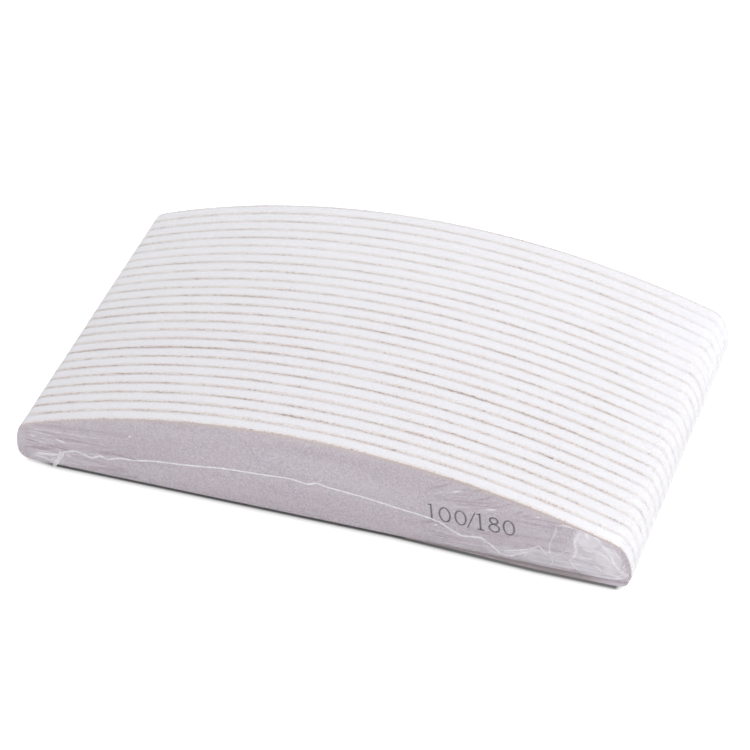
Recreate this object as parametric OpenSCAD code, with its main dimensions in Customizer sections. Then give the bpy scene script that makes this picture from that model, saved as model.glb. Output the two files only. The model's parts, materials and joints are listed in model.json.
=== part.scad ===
// Shrink-wrapped bundle of half-moon emery boards, standing side by side on their straight edges.
// X runs along the boards, Y through the bundle from front to back, Z up. The origin is under the
// middle of the bundle, on the surface that its film stands on.

/* [Board outline] */
// Length of a board along its straight edge
board_len = 178; // [150:1:200]
// Height of a board at the middle of its crown
board_h = 29.4; // [26:0.2:34]
// Height at which the crown's arc would meet the end of the board
crown_end_h = 12.1; // [10:0.1:16]
// Radius of the arc that rounds each end
end_r = 19; // [15:0.5:24]
// Radius that blends the end into the crown
shoulder_r = 5; // [2:0.5:8]
// Radius of the two bottom corners
toe_r = 3; // [1:0.25:4]
// Straight stretch of the end between its bottom corner and its arc
end_flat = 0.6; // [0:0.1:2]

/* [Board layers] */
// Thickness of the white foam core
core_t = 3; // [1.5:0.1:5]
// Thickness of each layer of adhesive
adhesive_t = 0.06; // [0.05:0.01:0.2]
// Thickness of the coarse abrasive sheet, grit and paper together
coarse_t = 0.36; // [0.2:0.02:0.6]
// Thickness of the fine abrasive sheet, grit and paper together
fine_t = 0.3; // [0.2:0.02:0.6]

/* [Bundle] */
// Number of boards in the bundle
board_count = 25; // [10:1:25]
// Air between the grit of two neighbouring boards
board_gap = 0.02; // [0.02:0.01:0.5]

/* [Film] */
// Thickness of the shrink film
film_t = 0.1; // [0.08:0.01:0.3]
// Clearance between the film and the boards
film_gap = 0.05; // [0.02:0.01:0.3]

/* [Film seams] */
// Width of the long weld seam
seam_w = 0.6; // [0.3:0.05:1.2]
// How far every weld seam and fold stands off the film
seam_t = 0.2; // [0.1:0.02:0.5]
// Height of the weld across each end, above the boards' straight edge
end_seam_z = 5.4; // [4:0.1:8]
// Width of the weld across each end
end_seam_w = 1.2; // [0.6:0.1:2]

/* [Film underfolds] */
// Number of leaves in the film that is folded under each end
fold_leaves = 3; // [2:1:5]
// Thickness of one leaf, with the air inside it
leaf_t = 0.3; // [0.2:0.05:0.5]
// Length of the top leaf, inwards from the end of the boards' straight edge
fold_len = 30; // [20:1:45]
// How far each leaf stops short of the one above it, all round
leaf_step = 1; // [0.5:0.1:1.5]

/* [Film gathers] */
// Number of tension folds that fan out from the left end
fan_folds = 9; // [5:1:14]
// Length of the longest fold of the fan
fan_len = 34; // [20:1:45]
// Widest point of a fold of the fan
fan_fold_w = 0.9; // [0.4:0.1:1.5]
// Width of a crease in the gathered film at the right end
crease_w = 0.7; // [0.3:0.1:1.2]
// Length of the loose tail of film at the left end of the seam
tail_len = 5; // [3:0.25:6]
// Width of that tail where it leaves the seam
tail_w = 3.6; // [2:0.2:6]
// How far the tip of the tail stands off the face
tail_out = 1.4; // [0.8:0.1:2.5]

/* [Hidden] */
crown_facets = 360;
arc_facets = 96;
tip_share = 0.4;
sector_lap = 1;

// The crown's radius from its chord and rise, and the centres of the arcs on the right-hand end.
crown_rise = board_h - crown_end_h;
crown_r = (pow(board_len / 2, 2) + pow(crown_rise, 2)) / (2 * crown_rise);
crown_at = [0, board_h - crown_r];
toe_at = [board_len / 2 - toe_r, toe_r];
end_at = [board_len / 2 - end_r, toe_r + end_flat];
shoulder_at = meet(crown_at, crown_r - shoulder_r, end_at, end_r - shoulder_r);
crown_tangent = heading(crown_at, shoulder_at);
end_tangent = heading(end_at, shoulder_at);

// The layers of one board and the places of the boards, from front to back.
board_t = coarse_t + fine_t + core_t + 2 * adhesive_t;
pitch = board_t + board_gap;
stack_w = board_count * pitch - board_gap;
core_y = coarse_t + adhesive_t;
back_adhesive_y = core_y + core_t;
fine_y = back_adhesive_y + adhesive_t;

// The film's skin, inside and outside, and the heights of its underside and of the boards on it.
skin_in = film_gap;
skin_out = film_gap + film_t;
underside_z = fold_leaves * leaf_t;
floor_z = underside_z + skin_out;
face_y = -stack_w / 2 - skin_out;

// Points on the front face are shares of the half length and of the height of a board.
seam_path = [
    [-0.93, 0.11], [-0.87, 0.14], [-0.84, 0.18], [-0.78, 0.25], [-0.7, 0.24], [-0.67, 0.23],
    [-0.57, 0.3], [-0.42, 0.35], [-0.27, 0.42], [-0.17, 0.44], [0.01, 0.45], [0.1, 0.44],
    [0.28, 0.35], [0.38, 0.32], [0.42, 0.31], [0.46, 0.23], [0.54, 0.19], [0.61, 0.05]
];
seam_branch = [[0.54, 0.19], [0.6, 0.11], [0.68, 0.18], [0.71, 0.25], [0.73, 0.17]];
gather_patch = [
    [0.76, 0.1], [0.76, 0.32], [0.81, 0.36], [0.82, 0.56], [0.86, 0.53], [0.94, 0.36], [0.97, 0.17],
    [0.93, 0.05], [0.83, 0.03]
];
gather_creases = [
    [[0.78, 0.56], [0.76, 0.36], [0.75, 0.21], [0.76, 0.07]],
    [[0.82, 0.55], [0.84, 0.38], [0.82, 0.26], [0.8, 0.14]],
    [[0.87, 0.52], [0.88, 0.4], [0.93, 0.3], [0.97, 0.15]],
    [[0.9, 0.46], [0.94, 0.36], [0.97, 0.22]],
    [[0.84, 0.04], [0.9, 0.06], [0.96, 0.1]]
];
tail_root = [-0.84, 0.18];

// Width of the top leaf of an underfold at its outer and inner edges, as shares of the bundle's depth.
fold_outer = 0.86;
fold_inner = 0.62;

// The fan's folds start near the left end, between two heights, and draw together by these headings.
fan_low = 2;
fan_high = -5;
fan_x = 4;
fan_bottom = 2.4;
fan_spread = 10.8;
fan_nose = 0.12;
fan_short = 0.7;

core_names = [for (i = [1 : board_count]) board_name(i, "_core")];
sheet_names = [for (i = [1 : board_count]) board_name(i, "_sheets")];

// Name of one board's piece, with the board's number in two digits.
function board_name(number, piece) = str("board_", number < 10 ? "0" : "", number, piece);

// Front of a board, counted from 1 at the front of the bundle.
function board_y(number) = -stack_w / 2 + (number - 1) * pitch;

// Heading in degrees from one point to another.
function heading(from, to) = atan2(to[1] - from[1], to[0] - from[0]);

// Point at a distance from another along a heading.
function step_from(at, angle, distance) = at + distance * [cos(angle), sin(angle)];

// Right-hand meeting point of a circle about a, radius ra, and one higher up about b, radius rb.
function meet(a, ra, b, rb) =
    let (apart = norm(b - a))
    let (swing = acos((ra * ra + apart * apart - rb * rb) / (2 * ra * apart)))
    step_from(a, heading(a, b) - swing, ra);

// Sideways step, for half a width of one, from point i of a line to the mitred edge of its ribbon.
function mitre(points, i) =
    let (last = len(points) - 1)
    let (ahead = heading(points[min(i, last - 1)], points[min(i, last - 1) + 1]))
    let (behind = heading(points[max(i, 1) - 1], points[max(i, 1)]))
    step_from([0, 0], (ahead + behind) / 2 + 90, 1 / cos((ahead - behind) / 2));

// Place on the front face, in millimetres, of a point given in shares.
function on_face(share) = [share[0] * board_len / 2, floor_z + share[1] * board_h];

// What a rounded corner takes off: the sector between two headings, outside a circle.
module corner_waste(at, radius, low, high, grow) {
    reach = 2 * (radius + grow);
    difference() {
        polygon([
            at,
            step_from(at, low, reach),
            step_from(at, (low + high) / 2, 2 * reach),
            step_from(at, high, reach)
        ]);
        translate(at)
            circle(r = radius + grow, $fn = arc_facets);
    }
}

// Half-moon outline of a board, or with grow the outline of a skin that far outside it. The end's
// sector laps over the shoulder's, where it cuts nothing more, so that no sliver stands between them.
module board_outline(grow = 0) {
    difference() {
        intersection() {
            translate(crown_at)
                circle(r = crown_r + grow, $fn = crown_facets);
            translate([-board_len / 2 - grow, -grow])
                square([board_len + 2 * grow, 2 * board_h]);
        }
        for (flip = [0, 1])
            mirror([flip, 0]) {
                corner_waste(shoulder_at, shoulder_r, end_tangent, crown_tangent, grow);
                corner_waste(end_at, end_r, 0, end_tangent + sector_lap, grow);
                corner_waste(toe_at, toe_r, -90, 0, grow);
            }
    }
}

// A flat layer of the bundle that starts at y and has the board's outline.
module layer(y, thickness, grow = 0) {
    translate([0, y + thickness, floor_z])
        rotate([90, 0, 0])
            linear_extrude(thickness)
                board_outline(grow);
}

module board_core(number) {
    color("#ECEBF2")
        layer(board_y(number) + core_y, core_t);
}

// The coarse sheet in front of the core and the fine sheet behind it.
module board_sheets(number) {
    color("#B6AEB6") {
        layer(board_y(number), coarse_t);
        layer(board_y(number) + fine_y, fine_t);
    }
}

// Both adhesive layers of every board.
module adhesive_layers() {
    color("#D8C8A6")
        for (number = [1 : board_count]) {
            layer(board_y(number) + coarse_t, adhesive_t);
            layer(board_y(number) + back_adhesive_y, adhesive_t);
        }
}

// Sealed skin of film that fits all round the bundle.
module film_wrap() {
    color("#DDE4EE", 0.35)
        difference() {
            layer(-stack_w / 2 - skin_out, stack_w + 2 * skin_out, skin_out);
            layer(-stack_w / 2 - skin_in, stack_w + 2 * skin_in, skin_in);
        }
}

// Lays a flat shape, drawn in X and Z, on the outside of the film's front.
module on_front(thickness) {
    translate([0, face_y, 0])
        rotate([90, 0, 0])
            linear_extrude(thickness)
                children();
}

// Ribbon along a line of points, mitred where it turns and narrower at both tips.
module ribbon(points, width) {
    last = len(points) - 1;
    edge = [for (i = [0 : last]) width / 2 * (i == 0 || i == last ? tip_share : 1) * mitre(points, i)];
    polygon(concat(
        [for (i = [0 : last]) points[i] + edge[i]],
        [for (i = [last : -1 : 0]) points[i] - edge[i]]
    ));
}

// Ribbon through points that are given in shares of the front face.
module face_trace(shares, width) {
    ribbon([for (share = shares) on_face(share)], width);
}

// The long seam and its branch, or with grow the room that the film round them leaves.
module seam_line(grow = 0) {
    face_trace(seam_path, seam_w + 2 * grow);
    face_trace(seam_branch, seam_w + 2 * grow);
}

module film_long_seam() {
    color("#F4F6FA")
        on_front(seam_t)
            seam_line();
}

// Weld that runs from front to back across one end, on the outside of the film.
module end_seam() {
    translate([0, stack_w / 2, floor_z])
        rotate([90, 0, 0])
            linear_extrude(stack_w)
                intersection() {
                    difference() {
                        board_outline(skin_out + seam_t);
                        board_outline(skin_out);
                    }
                    translate([board_len / 4, end_seam_z - end_seam_w / 2])
                        square([board_len / 2, end_seam_w]);
                }
}

module film_end_seam_left() {
    color("#F4F6FA")
        mirror([1, 0, 0])
            end_seam();
}

module film_end_seam_right() {
    color("#F4F6FA")
        end_seam();
}

// Film folded flat under one end, leaf on leaf, each leaf smaller than the one above it.
module underfold() {
    outer_x = board_len / 2 - toe_r;
    for (i = [0 : fold_leaves - 1]) {
        inset = i * leaf_step;
        outer_y = fold_outer * stack_w / 2 - inset;
        inner_y = fold_inner * stack_w / 2 - inset;
        translate([0, 0, underside_z - (i + 1) * leaf_t])
            linear_extrude(leaf_t)
                polygon([
                    [outer_x - inset, outer_y], [outer_x - fold_len + inset, inner_y],
                    [outer_x - fold_len + inset, -inner_y], [outer_x - inset, -outer_y]
                ]);
    }
}

module film_underfold_left() {
    color("#F4F6FA")
        mirror([1, 0, 0])
            underfold();
}

module film_underfold_right() {
    color("#F4F6FA")
        underfold();
}

// Loose tail of film that curls off the front of the seam: a bent strip, cut to a taper.
module film_tail_left() {
    bend = 2 * atan(tail_out / tail_len);
    bend_r = tail_len / sin(bend);
    root = on_face(tail_root);
    color("#F4F6FA")
        translate([root[0], face_y - seam_t, root[1]])
            intersection() {
                translate([-tail_w / 2, 0, 0])
                    rotate([90, 0, 90])
                        linear_extrude(tail_w) {
                            intersection() {
                                translate([-bend_r, 0])
                                    difference() {
                                        circle(r = bend_r, $fn = crown_facets);
                                        circle(r = bend_r - seam_t, $fn = crown_facets);
                                    }
                                translate([-bend_r, 0])
                                    polygon([
                                        [0, 0], [2 * bend_r, 0], step_from([0, 0], -bend, 2 * bend_r)
                                    ]);
                            }
                            translate([-seam_t, 0])
                                square([seam_t, tail_w / 2]);
                        }
                rotate([90, 0, 0])
                    linear_extrude(2 * tail_out)
                        polygon([
                            [-tail_w / 2, 0], [0, tail_w / 2], [tail_w / 2, 0], [-tail_w / 6, -tail_len],
                            [-tail_w / 2, -tail_len]
                        ]);
            }
}

// One tension fold: a long, narrow kite that starts blunt and dies away.
module fan_fold(length) {
    polygon([
        [0, 0], [fan_nose * length, fan_fold_w / 2], [length, 0], [fan_nose * length, -fan_fold_w / 2]
    ]);
}

// Folds that fan out from the left end, each shorter or longer than its neighbour by turns.
module film_gather_left() {
    color("#F4F6FA")
        on_front(seam_t)
            difference() {
                for (i = [0 : fan_folds - 1]) {
                    share = i / (fan_folds - 1);
                    reach = fan_len * (i % 2 == 0 ? 1 : fan_short);
                    translate([fan_x - board_len / 2, floor_z + fan_bottom + share * fan_spread])
                        rotate(fan_low + share * (fan_high - fan_low))
                            fan_fold(reach);
                }
                seam_line(film_gap);
            }
}

// Crumpled film at the right end: a doubled patch with creases that stand off it.
module film_gather_right() {
    color("#F4F6FA") {
        on_front(film_t)
            difference() {
                polygon([for (share = gather_patch) on_face(share)]);
                seam_line(film_gap);
            }
        for (crease = gather_creases)
            on_front(seam_t)
                difference() {
                    face_trace(crease, crease_w);
                    seam_line(film_gap);
                }
    }
}

for (number = [1 : board_count]) {
    board_core(number);
    board_sheets(number);
}
adhesive_layers();
film_wrap();
film_long_seam();
film_end_seam_left();
film_end_seam_right();
film_underfold_left();
film_underfold_right();
film_tail_left();
film_gather_left();
film_gather_right();
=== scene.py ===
"""Dresses a shrink-wrapped bundle of half-moon emery boards: foam, grit, glue, clear film and a studio.

Sizes are millimetres of the real bundle and become metres where a mesh is made. X runs along the boards,
Y from the numbered front to the back, Z up. A place on the front face is (x, z), with z counted from the
straight edge of the boards.
"""
import json
import logging
import math
import random
from contextlib import contextmanager
from dataclasses import dataclass, field, replace
from enum import Enum
from typing import Callable, Iterator

import bpy
import numpy as np
from mathutils import Matrix, Vector, noise

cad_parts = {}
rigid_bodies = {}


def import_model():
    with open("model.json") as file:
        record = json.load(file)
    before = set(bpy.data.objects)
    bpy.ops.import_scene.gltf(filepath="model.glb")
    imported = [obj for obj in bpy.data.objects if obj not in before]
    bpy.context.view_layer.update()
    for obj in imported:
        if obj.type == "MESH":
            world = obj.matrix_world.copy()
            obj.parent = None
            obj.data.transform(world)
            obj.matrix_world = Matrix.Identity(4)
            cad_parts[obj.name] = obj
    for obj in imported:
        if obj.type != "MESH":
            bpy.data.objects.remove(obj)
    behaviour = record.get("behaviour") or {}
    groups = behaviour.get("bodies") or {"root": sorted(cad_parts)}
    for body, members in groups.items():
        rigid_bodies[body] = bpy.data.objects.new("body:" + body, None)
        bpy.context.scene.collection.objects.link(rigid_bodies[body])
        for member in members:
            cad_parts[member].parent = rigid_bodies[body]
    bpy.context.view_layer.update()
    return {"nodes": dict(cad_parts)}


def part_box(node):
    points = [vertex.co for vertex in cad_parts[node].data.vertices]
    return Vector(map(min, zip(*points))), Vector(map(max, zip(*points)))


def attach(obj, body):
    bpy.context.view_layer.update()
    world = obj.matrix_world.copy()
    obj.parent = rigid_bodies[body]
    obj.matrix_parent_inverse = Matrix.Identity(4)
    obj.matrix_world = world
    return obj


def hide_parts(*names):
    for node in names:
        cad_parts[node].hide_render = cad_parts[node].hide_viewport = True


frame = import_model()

MM = 0.001
ROOT = "root"
log = logging.getLogger("emery_boards")

Place = tuple[float, float]
Colour = tuple[float, float, float]
Piece = bpy.types.Object


class Slot(Enum):
    """Material slots of the record, which each piece is logged with."""

    FOAM = "foam_core"
    SHEET = "abrasive_sheet"
    GLUE = "adhesive"
    FILM = "shrink_film"
    SEAM = "film_seam"


class Pick(Enum):
    """Kinds of mesh element that can be selected by place."""

    VERTEX = (True, False, False)
    EDGE = (False, True, False)
    FACE = (False, False, True)


# Tools of the bench: selecting, editing and finishing a piece.


def deselect_all() -> None:
    """Leaves nothing selected, because the CAD nodes come in selected."""
    for piece in bpy.context.view_layer.objects:
        piece.select_set(False)


def take(piece: Piece) -> None:
    """Makes a piece the only selected one, and the active one.

    Args:
        piece: The piece.
    """
    deselect_all()
    piece.select_set(True)
    bpy.context.view_layer.objects.active = piece


@contextmanager
def editing(piece: Piece, kind: Pick = Pick.VERTEX) -> Iterator[None]:
    """Opens a piece in edit mode for a while.

    Args:
        piece: The piece to edit.
        kind: The kind of element that the selection is read as.

    Returns:
        A context in which mesh operators act on the piece.
    """
    take(piece)
    bpy.context.tool_settings.mesh_select_mode = kind.value
    bpy.ops.object.mode_set(mode="EDIT")
    yield
    bpy.ops.object.mode_set(mode="OBJECT")


def unpick(piece: Piece) -> None:
    """Leaves no vertex, edge or face of a piece selected."""
    for group in (piece.data.vertices, piece.data.edges, piece.data.polygons):
        group.foreach_set("select", [False] * len(group))


def pick(piece: Piece, kind: Pick, test: Callable[[Vector, Vector], bool]) -> int:
    """Selects the elements of a mesh that pass a test of their middle and normal.

    Args:
        piece: The piece whose mesh is searched.
        kind: Vertices, edges or faces.
        test: Takes an element's middle and its normal. An edge has no normal and gives its direction.

    Returns:
        How many elements were selected.
    """
    mesh = piece.data
    unpick(piece)
    items = {Pick.VERTEX: mesh.vertices, Pick.EDGE: mesh.edges, Pick.FACE: mesh.polygons}[kind]
    found = 0
    for item in items:
        if kind is Pick.VERTEX:
            middle, normal = item.co, item.normal
        elif kind is Pick.EDGE:
            ends = [mesh.vertices[i].co for i in item.vertices]
            middle, normal = (ends[0] + ends[1]) / 2, (ends[1] - ends[0]).normalized()
        else:
            middle, normal = item.center, item.normal
        item.select = test(middle, normal)
        found += item.select
    return found


def apply_modifier(piece: Piece, modifier: bpy.types.Modifier) -> None:
    """Applies one modifier of a piece."""
    take(piece)
    bpy.ops.object.modifier_apply(modifier=modifier.name)


def copy_of(piece: Piece, name: str, shift: Vector = Vector()) -> Piece:
    """Copies a piece with its own mesh.

    Args:
        piece: The piece that was modelled once.
        name: Name of the copy.
        shift: How far the copy's mesh moves, in millimetres.

    Returns:
        The copy, whose object sits at the origin.
    """
    made = piece.copy()
    made.data = piece.data.copy()
    made.name = name
    bpy.context.scene.collection.objects.link(made)
    made.data.transform(Matrix.Translation(shift * MM))
    return made


def discard(*pieces: Piece) -> None:
    """Removes pieces that were only patterns for copies."""
    for piece in pieces:
        bpy.data.objects.remove(piece)


def join(pieces: list[Piece], name: str) -> Piece:
    """Joins pieces into one.

    Args:
        pieces: The pieces. The first takes in the others.
        name: Name of the whole.

    Returns:
        The whole.
    """
    deselect_all()
    for piece in pieces:
        piece.select_set(True)
    bpy.context.view_layer.objects.active = pieces[0]
    bpy.ops.object.join()
    pieces[0].name = name
    return pieces[0]


def fit_out(piece: Piece, slot: Slot, nodes: tuple[str, ...] = (), smooth_deg: float = 35) -> Piece:
    """Gives a finished piece its shading and its body, hides the CAD nodes that it stands for, and logs its
    record slot.

    Args:
        piece: The finished piece.
        slot: The record's material slot.
        nodes: CAD nodes that the piece replaces.
        smooth_deg: Edges flatter than this are shaded smooth.

    Returns:
        The same piece.
    """
    take(piece)
    bpy.ops.object.shade_smooth_by_angle(angle=math.radians(smooth_deg))
    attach(piece, ROOT)
    if nodes:
        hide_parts(*nodes)
    log.info("%s: %d faces, slot %s", piece.name, len(piece.data.polygons), slot.value)
    return piece


def smooth_line(points: list[Vector], step: float) -> list[Vector]:
    """Lays a smooth curve through points.

    Args:
        points: The points that the line goes through.
        step: Greatest distance between two points of the result.

    Returns:
        Points along a Catmull-Rom curve.
    """
    padded = [2 * points[0] - points[1], *points, 2 * points[-1] - points[-2]]
    line = []
    for a, b, c, d in zip(padded, padded[1:], padded[2:], padded[3:]):
        count = max(1, math.ceil((c - b).length / step))
        square, cube = 2 * a - 5 * b + 4 * c - d, 3 * b - a - 3 * c + d
        for i in range(count):
            t = i / count
            line.append(0.5 * (2 * b + (c - a) * t + square * t**2 + cube * t**3))
    return [*line, points[-1].copy()]


# Finishes. Each is a small class that makes one material, from shared groups of nodes.

Socket = bpy.types.NodeSocket
Sockets = bpy.types.bpy_prop_collection

# Values from low to high become values from least to most: (low, high, least, most).
Band = tuple[float, float, float, float]


@dataclass(frozen=True)
class Relief:
    """Fine relief of a surface: how strongly it shows, and how deep it is in millimetres."""

    strength: float
    depth: float


@dataclass(frozen=True)
class Streaks:
    """Streaks along X: how many to a metre, how long they are, and the band of them that shows."""

    scale: float
    length: float
    band: Band = (0, 1, 0, 1)


@dataclass(frozen=True)
class Specks:
    """Round specks: how many cells to a metre, the share of them that has one, and its radius."""

    scale: float
    share: float
    radius: float


def paint(colour: Socket | Colour) -> Socket | tuple[float, ...]:
    """Gives a plain colour its full alpha and leaves a socket as it is."""
    return colour if isinstance(colour, Socket) else (*colour, 1.0)


class Graph:
    """A node tree with short calls that add nodes and link them."""

    def __init__(self, tree: bpy.types.NodeTree, effects: "Effects | None" = None) -> None:
        """Takes over a tree and clears it.

        Args:
            tree: The tree of a material, a world or a group.
            effects: The shared groups, if the tree uses them.
        """
        self.tree = tree
        self.effects = effects
        tree.nodes.clear()

    def feed(self, node: bpy.types.Node, inputs: dict) -> bpy.types.Node:
        """Gives a node its inputs.

        Args:
            node: The node.
            inputs: Sockets to link from, or constants, by the name or number of the input.

        Returns:
            The same node.
        """
        for name, value in inputs.items():
            if isinstance(value, Socket):
                self.tree.links.new(value, node.inputs[name])
            else:
                node.inputs[name].default_value = value
        return node

    def add(self, kind: str, inputs: dict | None = None, **settings: object) -> bpy.types.Node:
        """Adds a node.

        Args:
            kind: The node's type, without the prefix ShaderNode.
            inputs: Sockets to link from, or constants, by the name or number of the input.
            settings: Attributes to set on the node.

        Returns:
            The new node.
        """
        node = self.tree.nodes.new("ShaderNode" + kind)
        for name, value in settings.items():
            setattr(node, name, value)
        return self.feed(node, inputs or {})

    def math(self, operation: str, a: object, b: object = 0.0, clamp: bool = False) -> Socket:
        """Adds a Math node and returns its value."""
        return self.add("Math", {0: a, 1: b}, operation=operation, use_clamp=clamp).outputs[0]

    def multiply(self, a: object, b: object) -> Socket:
        """Multiplies two values."""
        return self.math("MULTIPLY", a, b)

    def blend(self, mask: object, a: object, b: object) -> Socket:
        """Mixes two colours by a mask and returns the colour."""
        return self.add("Mix", {0: mask, 6: paint(a), 7: paint(b)}, data_type="RGBA").outputs[2]

    def spread(self, value: object, low: float, high: float, least: float, most: float) -> Socket:
        """Maps a band of values onto another, clamped, and returns the value."""
        inputs = {0: value, 1: low, 2: high, 3: least, 4: most}
        return self.add("MapRange", inputs, clamp=True).outputs[0]

    def point(self) -> Socket:
        """Gives the shaded point in the piece's own space."""
        return self.add("TexCoord").outputs["Object"]

    def axes(self) -> Sockets:
        """Gives X, Y and Z of the shaded point."""
        return self.add("SeparateXYZ", {0: self.point()}).outputs

    def attribute(self, name: str) -> Socket:
        """Reads a value that is stored on the piece."""
        return self.add("Attribute", attribute_name=name).outputs["Fac"]

    def lets_light_by(self, alpha: object) -> Socket:
        """Clears an alpha for the rays that carry light, because thin film hardly shades what is under it.

        Args:
            alpha: How much the film covers for the camera.

        Returns:
            The alpha for every kind of ray.
        """
        path = self.add("LightPath").outputs
        carries = self.math("MAXIMUM", path["Is Shadow Ray"], path["Is Diffuse Ray"])
        return self.math("MULTIPLY", alpha, self.math("SUBTRACT", 1.0, carries), clamp=True)

    def group(self, shared: bpy.types.NodeTree, inputs: dict) -> Sockets:
        """Places a shared group with its values and returns what it gives."""
        return self.feed(self.add("Group", node_tree=shared), inputs).outputs

    def grain(self, scale: float) -> Sockets:
        """Places the shared grain and returns its Fine and Slow."""
        return self.group(self.effects.grain, {"Scale": scale})

    def flow(self, streaks: Streaks) -> Socket:
        """Places the shared streaks and returns them as they come."""
        return self.group(self.effects.flow, {"Scale": streaks.scale, "Length": streaks.length})[0]

    def shown(self, streaks: Streaks) -> Socket:
        """Places the shared streaks and returns the band of them that shows."""
        return self.spread(self.flow(streaks), *streaks.band)

    def specks(self, specks: Specks) -> Socket:
        """Places the shared specks and returns their mask."""
        inputs = {"Scale": specks.scale, "Share": specks.share, "Radius": specks.radius}
        return self.group(self.effects.specks, inputs)[0]


def new_group(
    name: str, inputs: dict[str, float], outputs: tuple[str, ...]
) -> tuple[Graph, Sockets, Sockets]:
    """Starts a shader node group with named sockets.

    Args:
        name: The group's name.
        inputs: Value inputs and their defaults.
        outputs: Names of the value outputs.

    Returns:
        The group's graph, the sockets that give its inputs and the sockets that take its outputs.
    """
    group = bpy.data.node_groups.new(name, "ShaderNodeTree")
    for label, value in inputs.items():
        made = group.interface.new_socket(label, in_out="INPUT", socket_type="NodeSocketFloat")
        made.default_value = value
    for label in outputs:
        group.interface.new_socket(label, in_out="OUTPUT", socket_type="NodeSocketFloat")
    graph = Graph(group)
    given, put = group.nodes.new("NodeGroupInput"), group.nodes.new("NodeGroupOutput")
    return graph, given.outputs, put.inputs


class Effects:
    """Shader node groups that more than one finish uses."""

    def __init__(self) -> None:
        """Builds each group once."""
        self.grain = self.make_grain()
        self.specks = self.make_specks()
        self.flow = self.make_flow()

    def make_grain(self, slow_share: float = 0.06) -> bpy.types.NodeTree:
        """Makes fine grain and slow mottling at one scale, a count per metre.

        Args:
            slow_share: Scale of the mottling as a share of the grain's.

        Returns:
            The group.
        """
        graph, given, put = new_group("grain", {"Scale": 3000.0}, ("Fine", "Slow"))
        at = graph.point()
        fine = {"Vector": at, "Scale": given["Scale"], "Detail": 3.0, "Roughness": 0.7}
        slow = {"Vector": at, "Scale": graph.multiply(given["Scale"], slow_share), "Detail": 2.0}
        for output, inputs in (("Fine", fine), ("Slow", slow)):
            graph.tree.links.new(graph.add("TexNoise", inputs).outputs[0], put[output])
        return graph.tree

    def make_specks(self) -> bpy.types.NodeTree:
        """Makes sparse round specks: Scale is a count per metre and Share how many cells have one.

        Returns:
            The group.
        """
        graph, given, put = new_group("specks", {"Scale": 800.0, "Share": 0.1, "Radius": 0.25}, ("Mask",))
        cells = graph.add("TexVoronoi", {"Vector": graph.point(), "Scale": given["Scale"]}).outputs
        near = graph.math("LESS_THAN", cells["Distance"], given["Radius"])
        lot = graph.add("SeparateColor", {0: cells["Color"]}).outputs[0]
        chosen = graph.math("LESS_THAN", lot, given["Share"])
        graph.tree.links.new(graph.multiply(near, chosen), put["Mask"])
        return graph.tree

    def make_flow(self) -> bpy.types.NodeTree:
        """Makes streaks that run along X, as stretched film and fibres have.

        Returns:
            The group.
        """
        graph, given, put = new_group("flow", {"Scale": 300.0, "Length": 12.0}, ("Streaks",))
        at = graph.axes()
        along = graph.math("DIVIDE", at[0], given["Length"])
        where = graph.add("CombineXYZ", {0: along, 1: at[1], 2: at[2]}).outputs[0]
        streaks = graph.add("TexNoise", {"Vector": where, "Scale": given["Scale"], "Detail": 3.0})
        graph.tree.links.new(streaks.outputs[0], put["Streaks"])
        return graph.tree


@dataclass
class Look:
    """What a finish paints: its colour and, where it has them, its height, its cover and its metal."""

    colour: Socket | Colour
    height: Socket | None = None
    cover: Socket | float | None = None
    metal: Socket | None = None


@dataclass(frozen=True)
class Finish:
    """What every finish has: its material's name, its roughness, its shine and its relief."""

    name: str = "finish"
    roughness: float = 0.9
    shine: float = 0.5
    relief: Relief | None = None

    def look(self, graph: Graph) -> Look:
        """Paints the finish, which every kind does in its own way."""
        raise NotImplementedError

    def make(self, effects: Effects) -> bpy.types.Material:
        """Makes the finish's material.

        Args:
            effects: The shared groups.

        Returns:
            The material.
        """
        material = bpy.data.materials.new(self.name)
        material.use_nodes = True
        graph = Graph(material.node_tree, effects)
        look = self.look(graph)
        inputs = {
            "Base Color": paint(look.colour), "Roughness": self.roughness, "Specular IOR Level": self.shine,
        }
        if look.metal is not None:
            inputs["Metallic"] = look.metal
        if look.cover is not None:
            inputs["Alpha"] = graph.lets_light_by(look.cover)
        if look.height is not None:
            bump = {"Height": look.height, "Strength": self.relief.strength}
            inputs["Normal"] = graph.add("Bump", {**bump, "Distance": self.relief.depth * MM}).outputs[0]
        shader = graph.add("BsdfPrincipled", inputs)
        graph.add("OutputMaterial", {0: shader.outputs[0]})
        return material


@dataclass(frozen=True)
class StainAndShade:
    """A stain with painted shade that fades in from one rim of a core: the rim's attribute, how strong it is,
    and its colour.
    """

    rim: str
    share: float
    colour: Colour


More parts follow.
